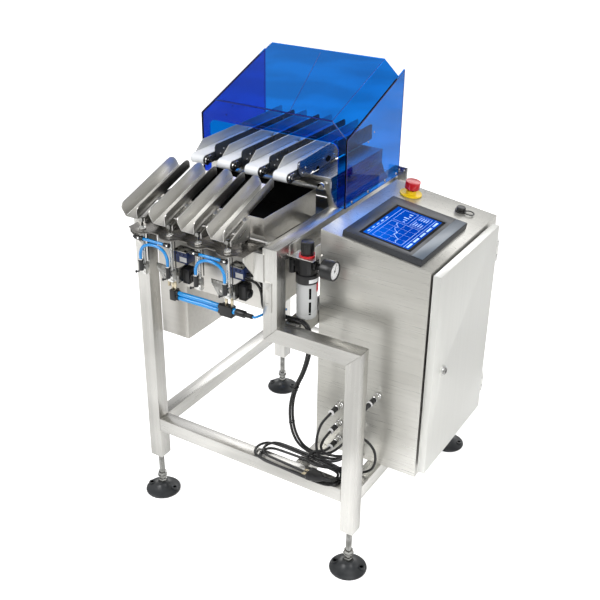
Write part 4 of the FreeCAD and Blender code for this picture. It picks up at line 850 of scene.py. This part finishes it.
# %% Screw heads
HEAD = ((1, 0), (1, 0.22), (0.84, 0.5), (0.55, 0.64), (0.50, 0.62), (0.46, 0.2), (0, 0.18))
WINGS = ((420, TO_RIGHT), (-32, TO_LEFT))


def screw(place, outward, radius):
    """The stroke for a button head with its socket, on a face that looks outward."""
    return (turned, [(radius * out, radius * height) for out, height in HEAD], place, outward, 12)


screws = [screw((316.5, y, z), TO_RIGHT, 3.2) for y, z in (
    (266.8, 983.0), (252.1, 972.5), (358.7, 981.0), (412.2, 978.0), (424.0, 966.5))]
screws += [screw((x, y, z), TO_RIGHT, 3.2) for x in (53.8, 139.8, 225.8)
           for y, z in ((275.0, 984.0), (260.5, 973.5))]
screws += [screw((x, y, 890), way, 4.0) for y in (330, 420, 520, 590) for x, way in WINGS]
screws += [screw((x, y, z), way, 2.6) for y, z in ((441.7, 1048.9), (409.8, 1030.3)) for x, way in WINGS]
screws += [screw((x, 600, 900), TO_FRONT, 3.0) for x in (424, 440)]
form("button_screws", bright, screws)
print("screws", len(screws))

# %% [markdown]
# ## Belt noses
# Under the nose of each belt a plated fork with two set screws presses on the
# small roller to track the belt. Only its end shows, beside the belt: two bright
# curved straps round a dark end plate.

# %% Belt tension forks
LANES = (31, 117, 203, 289)
straps, plates = [], []
for edge in [lane + 20.6 for lane in LANES]:
    plates.append((turned, [(12.6, 0), (12.6, 3.2), (11.6, 4.2), (0, 4.2)], (edge, 199.5, 973.5), TO_RIGHT, 20))
    straps += [
        (bent_band, (edge + 3.0, 199.5, 973.5), TO_RIGHT, TO_BACK, (60, 200), 9, (8.6, 10.8), (0, 3.4)),
        (bent_band, (edge + 3.0, 211.0, 975.5), TO_RIGHT, TO_BACK, (20, 170), 9, (6.4, 8.4), (0, 3.4)),
        (turned, [(2.6, 0), (2.6, 3.4), (1.9, 4.4), (0, 4.4)], (edge + 3.6, 199.5, 973.5), TO_RIGHT, 12),
        (turned, [(2.2, 0), (2.2, 3.0), (0, 3.4)], (edge + 3.6, 212.0, 967.0), TO_RIGHT, 12),
        (turned, [(1.8, 0), (1.8, 24), (0, 24.6)], (edge + 2.2, 206.0, 963.6), TO_BACK, 10)]
form("belt_fork_straps", bright, straps)
form("belt_fork_plates", black, plates, rounding=0.4)
print("forks", len(plates))

# %% [markdown]
# ## Hood edges and seam
# The edges of a clear coloured sheet look darker than its faces, because the
# colour is seen through the whole width of the sheet. Narrow dark blue strips on
# the glued edges give that line. A seam crosses the lid where two sheets meet.

# %% Hood edges
RIDGE_Z, SHOULDER_Z, FOOT_Z, FRONT_Y = 1106.0, 1064.8, 881.6, 296.0
LEFT, RIGHT, CHAMFER = -28.0, 416.0, 42.0
RISE = math.tan(math.radians(20))
LID_Y, WING_Y = [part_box(name)[1][1] * 1000 for name in ("hood_lid", "hood_wings")]


def lid_height(base, y):
    """The height at y of a line that rises with the lid from the hood's front."""
    return base + (y - FRONT_Y) * RISE


edges = [(bar_on, (LEFT + CHAMFER, FRONT_Y + 1.2, RIDGE_Z + 0.1), (RIGHT - CHAMFER, FRONT_Y + 1.2, RIDGE_Z + 0.1),
          3.0, 0.5, (0, -0.5, 1))]
for side_x, way in ((LEFT, -1), (RIGHT, 1)):
    ridge_x, wing_x = side_x - way * CHAMFER, side_x + way * 4.1
    corner, aside = (way, 0, 1), (way, 0, 0)
    edges += [
        (bar_on, (ridge_x, FRONT_Y, RIDGE_Z + 0.2), (ridge_x, LID_Y - 5, lid_height(RIDGE_Z, LID_Y - 5) + 0.2),
         1.6, 0.5, corner),
        (bar_on, (ridge_x, FRONT_Y + 1, RIDGE_Z + 0.2), (side_x, FRONT_Y + 1, SHOULDER_Z + 0.2), 2.6, 0.5, corner),
        (bar_on, (wing_x, FRONT_Y + 1.5, FOOT_Z), (wing_x, FRONT_Y + 1.5, SHOULDER_Z), 3.0, 0.3, aside),
        (bar_on, (wing_x, FRONT_Y + 1, SHOULDER_Z - 1.2), (wing_x, WING_Y, lid_height(SHOULDER_Z, WING_Y) - 1.2),
         2.4, 0.3, aside),
        (bar_on, (wing_x, WING_Y - 1.4, FOOT_Z), (wing_x, WING_Y - 1.4, lid_height(SHOULDER_Z, WING_Y) - 3),
         2.6, 0.3, aside)]
form("hood_edges", hood_edge, edges)
form("hood_seams", hood_edge, [
    (bar_on, (246, 300, lid_height(RIDGE_Z, 300) + 0.3), (184, 560, lid_height(RIDGE_Z, 560) + 0.3), 1.3, 0.4,
     (0, -RISE, 1)),
    (bar_on, (60, FRONT_Y - 0.1, 1058), (330, FRONT_Y - 0.1, 1058), 1.0, 0.3, TO_FRONT)])
print("lid back at", round(LID_Y, 1), "wing back at", round(WING_Y, 1))

# %% [markdown]
# ## Painted shade in the bin
# The inside of the reject bin is painted dark as shade. A thin open box of black
# sheet stands just inside the steel.

# %% Painted shade in the bin
BEVEL, INNER = 25.0, 2.4
bin_low, bin_high = [corner * 1000 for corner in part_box("reject_bin")]
left, front, floor_z = [value + INNER for value in bin_low]
right, back, rim_z = bin_high[0] - INNER, bin_high[1] - INNER, bin_high[2] - 3
side = [(front, rim_z), (front, floor_z + BEVEL), (front + BEVEL, floor_z), (back, floor_z), (back, rim_z)]
bin_shade_sheets = [(plate, [(x, y, z) for y, z in side], 0.4, way) for x, way in ((left, TO_RIGHT), (right, TO_LEFT))]
bin_shade_sheets += [(plate, [(left, y, z), (right, y, z), (right, next_y, next_z), (left, next_y, next_z)], 0.4,
            (0, z - next_z, next_y - y)) for (y, z), (next_y, next_z) in zip(side, side[1:])]
# Black sheets inside the bin: painted shade.
form("bin_painted_shade", pit_black, bin_shade_sheets)
print("bin_shade_sheets", [round(v) for v in (left, right, front, back)])

# %% [markdown]
# ## Conveyor skirt and side windows
# A bent sheet closes the right side of the conveyor frame between the cross
# plates. Beside the last belt, the side plate has two punched windows, painted as
# black shapes for the shade seen through them.

# %% Skirt and windows
fold = [(318.0, 958.0), (378.5, 958.0), (378.5, 920.0), (388.6, 893.6), (400.6, 881.9)]
form("conveyor_skirt", dark_steel, [
    (plate, [(x, 293, z), (x, 576, z), (next_x, 576, next_z), (next_x, 293, next_z)], 0.8,
     (z - next_z, 0, next_x - x)) for (x, z), (next_x, next_z) in zip(fold, fold[1:])])
form("side_plate_windows", pit_black, [
    (plate, [(316.5, y + along, z + up) for along, up in outline], 0.3, TO_RIGHT) for y, z, outline in (
        (385.0, 974.5, ((-17, -1), (-9.35, 5.95), (-2, 8.5), (13.6, 0.85), (8.5, -8.5), (-6.8, -8.5))),
        (330.0, 964.5, ((-10, -1), (-5.5, 3.5), (-2, 5), (8, 0.5), (5, -5), (-4, -5))))])
print("skirt and windows")

# %% [markdown]
# ## Touch panel
# A black frame runs round the lit picture, and the lower part of the bezel is a
# lighter band. The picture has a generic layout: a header with marks, a plot with
# its grid and a trace, a row of values and a row of keys. Every line is a thin
# flat bar, laid out in the panel's own directions: along the row and up the
# slope.

# %% Places on the sloping panel
SLOPE = math.radians(8)
DOWN_SLOPE = Vector((math.cos(SLOPE), 0, -math.sin(SLOPE)))
OFF_ROOF = Vector((math.sin(SLOPE), 0, math.cos(SLOPE)))
SCREEN_CORNER = Vector((673.8, 150.3, 878.9))
WIDE, TALL, FRAME = 208.4, 137.4, 3.5


def on_screen(along, up, lift=0.15):
    """A point on the picture, measured from its lower left corner as the operator sees it."""
    return SCREEN_CORNER + Vector((0, along, 0)) - DOWN_SLOPE * up + OFF_ROOF * lift


def line(start, end, width, lift=0.15):
    """The stroke for a thin bar on the picture."""
    return (bar_on, on_screen(*start, lift), on_screen(*end, lift), width, 0.12, OFF_ROOF)


# %% Frame, band and picture
form("screen_frame", pit_black, [line(start, end, 2 * FRAME, 0.25) for start, end in (
    ((0, FRAME), (WIDE, FRAME)), ((0, TALL - FRAME), (WIDE, TALL - FRAME)), ((FRAME, 0), (FRAME, TALL)),
    ((WIDE - FRAME, 0), (WIDE - FRAME, TALL)))])
form("bezel_band", band_grey, [
    (plate, [on_screen(*spot, 1.25) for spot in ((-16, -40.5), (246, -40.5), (246, -12), (-16, -12))], 0.5,
     OFF_ROOF)], rounding=0.3)
bars = [line((10, up), (198, up), 0.9) for up in (118, 22)]
for left, low, right, top in ((14, 30, 118, 108), (126, 30, 194, 62), (126, 70, 194, 108)):
    bars += [line(start, end, 0.7) for start, end in (
        ((left, low), (right, low)), ((left, top), (right, top)), ((left, low), (left, top)),
        ((right, low), (right, top)))]
for step in range(1, 4):
    bars += [line((14, 30 + step * 19.5), (118, 30 + step * 19.5), 0.35),
             line((14 + step * 26, 30), (14 + step * 26, 108), 0.35)]
TRACE = (46, 52, 49, 61, 70, 66, 78, 83, 79, 88, 92)
bars += [line((16 + k * 10, low), (26 + k * 10, high), 1.2) for k, (low, high) in enumerate(zip(TRACE, TRACE[1:]))]
for k in range(5):
    bars += [line((20 + k * 24, 124), (32 + k * 24, 124), 3.2),
             line((132 + k * 12, 78), (132 + k * 12, 84 + 4 * (k % 3)), 4.0),
             line((14 + k * 37, 14.5), (42 + k * 37, 14.5), 5.2)]
for k in range(4):
    bars += [line((132, 37 + k * 6.5), (150 + 6 * (k % 2), 37 + k * 6.5), 2.2),
             line((168, 37 + k * 6.5), (188, 37 + k * 6.5), 2.2)]
form("screen_lines", screen_line, bars)
print("screen bars", len(bars))

# %% [markdown]
# ## Pressure regulator
# The gauge has a white dial with marks and a pointer, in a raised black rim. The
# bowl's metal guard has two upright slots that show the dark bowl, a red catch
# and a plain white label above it. The knob is ribbed for the hand.

# %% Gauge
DIAL = Vector((524.0, 60.0, 826.0))


def on_dial(degrees, reach, lift):
    """A point on the dial, at a reach from its middle and a lift off its face."""
    angle = math.radians(degrees)
    return DIAL + Vector((lift, -math.cos(angle) * reach, math.sin(angle) * reach))


form("gauge_rim", black, [
    (turned, [(25, 0), (25, 1.2), (24, 2.6), (21.6, 2.8), (20.6, 0.4), (20.6, 0)], DIAL, TO_RIGHT, 40)])
form("gauge_face", white_plastic, [(turned, [(20.4, 0.05), (20.4, 0.5), (0, 0.5)], DIAL, TO_RIGHT, 40)])
marks = [(bar_on, on_dial(225 - k * 13.5, 15.6 if k % 4 else 13.5, 0.55), on_dial(225 - k * 13.5, 18.2, 0.55),
          0.45 if k % 4 else 0.9, 0.1, TO_RIGHT) for k in range(21)]
marks += [(bar_on, on_dial(118, -5, 0.9), on_dial(118, 15, 0.9), 1.1, 0.3, TO_RIGHT),
          (turned, [(2.4, 0.5), (2.4, 1.5), (0, 1.7)], DIAL, TO_RIGHT, 16)]
form("gauge_marks", pit_black, marks)
print("gauge marks", len(marks))


# %% Bowl, label, catch and knob
def wrapped(radius, low, high, start, end, thick):
    """The stroke for a band on the regulator's round body, between two headings in degrees from +X."""
    steps = max(2, int(abs(end - start) / 6) + 1)
    return (bent_band, (449.0, 60.0, 0.0), TO_TOP, TO_RIGHT, (start, end), steps, (radius, radius + thick),
            (low, high))


form("bowl_slots", pit_black, [
    wrapped(26.0, 743, 772, -48.0, -35.0, 0.25), wrapped(26.0, 706, 735, -48.0, -35.0, 0.25),
    wrapped(26.0, 700, 704.5, -48.0, -35.5, 0.20)])
form("bowl_label", white_plastic, [wrapped(28.0, 786.5, 796, -50, 8, 0.3)])
form("bowl_catch", red_plastic, [wrapped(26.0, 761, 783, 2, 20, 2.2), wrapped(26.0, 757, 762, 6, 16, 1.2)])
form("knob_ribs", black, [wrapped(15.4, 861, 882, heading, heading + 5, 0.8) for heading in range(0, 360, 15)],
     body="knob_body")
print("regulator dressed")

# %% [markdown]
# ## Valves and cylinders
# Each valve has a silver label and a cover with two screw holes, painted as black
# discs for the shade in them. A dark strip beside each cylinder is painted shade
# down the side of the barrel. Small black adjusting screws stand out of the hose
# fittings, with a pale collar where the hose goes in.

# %% Valve and cylinder details
CYLINDERS = [lane + 12 for lane in LANES]
VALVES = CYLINDERS[1::2]
labels, holes, strips, collars = [], [], [], []
for axis in VALVES:
    labels.append((plate, [(axis + x, -10.1, z) for x, z in ((-14, 777), (8, 777), (8, 790), (-14, 790))], 0.4,
                   TO_FRONT))
    for x in (axis - 26, axis + 1):
        holes += [(disc, 3.0, (x, -5, 806.3), TO_TOP, 14), (disc, 2.2, (x + 8, 12, 806.3), TO_TOP, 14)]
    strips.append((turned, [(6, 0), (6, 3), (3, 4), (0, 4)], (axis + 30.2, -10, 743), TO_RIGHT, 18))
    holes += [(disc, 2.0, (x, -10.2, 797), TO_FRONT, 12) for x in (axis - 24, axis - 12, axis)]
for axis, side in zip(CYLINDERS, (-1, 1, -1, 1)):
    strips += [
        # A black bar down each cylinder's side: painted shade.
        (bar_on, (axis + 7.0, -53, 782), (axis + 7.0, -53, 856), 2.4, 1.6, TO_RIGHT),
        (turned, [(2.2, 0), (2.2, 7), (3.6, 7.4), (3.6, 10), (0, 11)], (axis - 5.5, -77, 756), (-1, -0.35, -0.25),
         12)]
    collars.append((turned, [(6.6, 0), (6.6, 2.2), (4.2, 3.0)], (axis, -75, 789.8), TO_TOP, 18))
    collars += [(turned, [(3.0, 0), (3.0, 1.4), (0, 1.8)], (axis + 3.5, -67.6, z), TO_FRONT, 12) for z in (770, 751)]
    collars.append((turned, [(3.2, 0), (3.2, 2.4), (0, 3.0)], (axis + 2 * side, -76.4, 848), (0, -0.6, 0.8), 12))
form("valve_labels", white_plastic, labels)
# Black discs in the valves' holes: painted shade.
form("valve_holes", pit_black, holes)
form("cylinder_shade_strips_and_screws", black, strips)
form("hose_collars", aluminium, collars)
print("valves", len(VALVES), "cylinders", len(CYLINDERS))

# %% [markdown]
# ## Feet, door lock and service port
# A levelling foot is a wide cone with a raised socket and two bolt holes, whose
# insides are painted black as shade. The service port has a flat ring that keeps
# its cap from getting lost, and the door lock a keyhole painted black as shade.

# %% Feet
FOOT = [(46, 0), (50.2, 0.4), (50.7, 2.5), (50.2, 4.6), (47, 6.6), (40, 8.6), (31, 12.0), (23, 16.6), (17.5, 21.4),
        (15.4, 24.6), (14.8, 27.2), (13.4, 28.0), (10.5, 28.0), (10.0, 24.0), (0, 24.0)]
BOSS = [(9.5, 0), (9.5, 9.6), (8.6, 11.4), (5.4, 11.4), (5.0, 9.0), (0, 9.0)]
pads, pits = [], []
for x, y in ((0, 0), (625, 0), (0, 660), (625, 660)):
    pads.append((turned, FOOT, (x, y, 0), TO_TOP, 48))
    for side in (1, -1):
        spot = (x + 36 * side, y + 8 * side, 3.0)
        pads.append((turned, BOSS, spot, TO_TOP, 20))
        pits.append((turned, [(5.1, 9.1), (0, 9.1)], spot, TO_TOP, 16))
foot_pads = form("foot_pads", foot_black, pads, angle=40)
# Black discs in the bolt holes: painted shade.
form("foot_bolt_holes", pit_black, pits)
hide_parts("levelling_pads")
print("feet", len(foot_pads.data.polygons))

# %% Lock and service port
LOCK_Y, LOCK_Z, KEY_X = 183, 569, 778.35
lock_plug = form("lock_plug", plated, [
    (turned, [(9.0, -8), (9.0, 3.4), (8.4, 4.6), (7.0, 5.4), (0, 5.2)], (773, LOCK_Y, LOCK_Z), TO_RIGHT, 28)],
    body="lock_body")
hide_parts("door_lock")
# The keyhole is painted black as shade.
form("lock_keyhole", pit_black, [
    (bar_on, (KEY_X, LOCK_Y, LOCK_Z - 5.4), (KEY_X, LOCK_Y, LOCK_Z + 5.4), 2.6, 0.3, TO_RIGHT),
    (disc, 2.8, (KEY_X, LOCK_Y, LOCK_Z), TO_RIGHT, 16)], body="lock_body")
form("lock_rose", bright, [(turned, [(9.4, 0), (12.6, 0.2), (13, 1.0), (11.8, 2.2), (9.4, 2.4)],
                            (771.9, LOCK_Y, LOCK_Z), TO_RIGHT, 28)], body="door_body")
port = Vector((661.3, 486.0, 866.5))
ring = []
for angle in [2 * math.pi * k / 28 for k in range(28)]:
    way = DOWN_SLOPE * math.cos(angle) + Vector((0, math.sin(angle), 0))
    ring.append(section(port + DOWN_SLOPE * 25 + way * 12 + OFF_ROOF * 0.6, way, OFF_ROOF, (-1.6, 1.6), (0, 2.0)))
form("port_cap_and_ring", black, [
    (loft, ring, True),
    (turned, [(12.2, 7.5), (12.2, 12.6), (11.2, 13.8), (7.4, 13.8), (7.0, 12.8), (0, 12.8)],
     port - OFF_ROOF * 3.5, OFF_ROOF, 28)])
print("lock and port dressed")

# %% [markdown]
# ## Painted highlights on the chutes
# Each chute is folded from one sheet. The inside of a fold catches the light as a
# thin bright line where the wall meets the floor, and so do the cut top edges of
# the walls. Thin bright strips paint these highlights; they ride on the chute, so
# they tilt with it.

# %% Painted highlights on folds and top edges
FRONT_END = Vector((0, -83, 901.5))
DOWN_CHUTE = Vector((0, math.cos(CHUTE_SLOPE), math.sin(CHUTE_SLOPE)))
OFF_CHUTE = Vector((0, -math.sin(CHUTE_SLOPE), math.cos(CHUTE_SLOPE)))


def highlight_line(x, start, end, height, width, thick, outward):
    """The stroke for a painted highlight along a chute, at a height off the underside of its floor."""
    foot = FRONT_END + Vector((x, 0, 0)) + OFF_CHUTE * height
    return (bar_on, foot + DOWN_CHUTE * start, foot + DOWN_CHUTE * end, width, thick, outward)


for number, lane in enumerate(LANES, start=1):
    highlight_strokes = []
    for side in (-1, 1):
        highlight_strokes += [highlight_line(lane + 17.9 * side, 1, 224, 1.75, 1.3, 0.3, OFF_CHUTE + Vector((-0.6 * side, 0, 0))),
                  highlight_line(lane + 25.25 * side, 14, 202, 34.05, 1.2, 0.25, OFF_CHUTE)]
    form("chute_highlights_%d" % number, bright, highlight_strokes, body="chute_body_%d" % number)
print("fold lines", len(LANES))

# %% [markdown]
# ## Floor and light
# The object stands on a pale floor under a wide, soft light, as in a catalogue.
# The floor is plain white; a little extra light of its own, seen by the camera
# and less in reflections, keeps it from looking grey without lighting the
# machine. In reflections it has slow greyer patches, which give the legs and the
# door their gradients.

# %% Floor
bpy.ops.mesh.primitive_plane_add(size=30.0, location=(0.4, 0.3, -0.0005))
floor = bpy.context.object
floor.name = "floor"
floor_white, tree, shader = finish("floor_white", Roughness=0.9, Emission_Color=grey(1.0))
path = add(tree, "ShaderNodeLightPath")
mirror_glow = add(tree, "ShaderNodeMath", operation="MULTIPLY")
mirror_glow.inputs[1].default_value = 0.24
glow = add(tree, "ShaderNodeMath", operation="MULTIPLY_ADD")
glow.inputs[1].default_value = 0.62
tone = use(tree, tone_and_reflection, Size=1.5, Low=0.40, High=0.62)
mirrored = blend_colours(tree, tone.outputs["Mask"], (0.64, 0.64, 0.63, 1.0), (0.99, 0.99, 0.98, 1.0))
floor_colour = add(tree, "ShaderNodeMix", data_type="RGBA")
floor_colour.inputs[6].default_value = grey(0.9)
tree.links.new(mirrored, floor_colour.inputs[7])
wire(tree, (path, "Is Glossy Ray", floor_colour, 0), (floor_colour, 2, shader, "Base Color"),
     (path, "Is Glossy Ray", mirror_glow, 0), (path, "Is Camera Ray", glow, 0), (mirror_glow, 0, glow, 2),
     (glow, 0, shader, "Emission Strength"))
floor.data.materials.append(floor_white)
print("floor laid")

# %% [markdown]
# ### A room for the steel to mirror
# Polished steel shows what stands round it. An even white world makes it flat, so
# the light here has a room's shape: bright above the horizon, dimmer below it and
# overhead, with a few wide soft patches. The camera and clear sheets see plain
# white.

# %% World
world = bpy.data.worlds.new("studio")
bpy.context.scene.world = world
world.use_nodes = True
tree = world.node_tree
tree.nodes.clear()
path = add(tree, "ShaderNodeLightPath")
camera_or_glass = add(tree, "ShaderNodeMath", operation="MAXIMUM")
way = add(tree, "ShaderNodeTexCoord")
parts = add(tree, "ShaderNodeSeparateXYZ")
rise = add(tree, "ShaderNodeValToRGB")
ramp = rise.color_ramp.elements
ramp[0].color = grey(0.34)
ramp[1].position = 0.80
ramp[1].color = grey(0.26)
ramp.new(0.3).color = grey(0.70)
ramp.new(0.52).color = grey(1.2)
patches = add(tree, "ShaderNodeTexNoise", Scale=1.7, Detail=1.0)
patch_range = add(tree, "ShaderNodeMapRange", From_Min=0.38, From_Max=0.62, To_Min=0.60, To_Max=1.30)
patched = add(tree, "ShaderNodeVectorMath", operation="SCALE")
soft_light = add(tree, "ShaderNodeBackground", Strength=0.95)
white_wall = add(tree, "ShaderNodeBackground", Color=grey(1.0), Strength=1.0)
chosen = add(tree, "ShaderNodeMixShader")
sky = add(tree, "ShaderNodeOutputWorld")
wire(tree, (way, "Generated", parts, 0), (way, "Generated", patches, "Vector"), (parts, "Z", rise, "Fac"),
     (patches, "Fac", patch_range, "Value"), (rise, "Color", patched, 0),
     (patch_range, "Result", patched, "Scale"), (patched, 0, soft_light, "Color"),
     (path, "Is Camera Ray", camera_or_glass, 0), (path, "Is Transmission Ray", camera_or_glass, 1),
     (camera_or_glass, 0, chosen, "Fac"), (soft_light, 0, chosen, 1), (white_wall, 0, chosen, 2),
     (chosen, 0, sky, "Surface"))
print("world ready")

# %% Lamps
MIDDLE = Vector((0.4, 0.3, 0.6))
for name, place, size, power in (
        ("key", (-1.6, -2.6, 3.4), (2.2, 2.2), 95.0), ("fill", (3.4, -0.6, 2.2), (1.6, 2.6), 40.0),
        ("top", (0.9, 0.2, 3.6), (1.6, 1.6), 20.0), ("back", (-0.8, 3.2, 2.9), (2.8, 1.3), 26.0)):
    light = bpy.data.lights.new(name, "AREA")
    light.shape = "RECTANGLE"
    light.size, light.size_y = size
    light.energy = power
    lamp = new_object(name, light)
    lamp.location = place
    lamp.rotation_euler = (MIDDLE - Vector(place)).to_track_quat("-Z", "Y").to_euler()
    print("lamp", name)
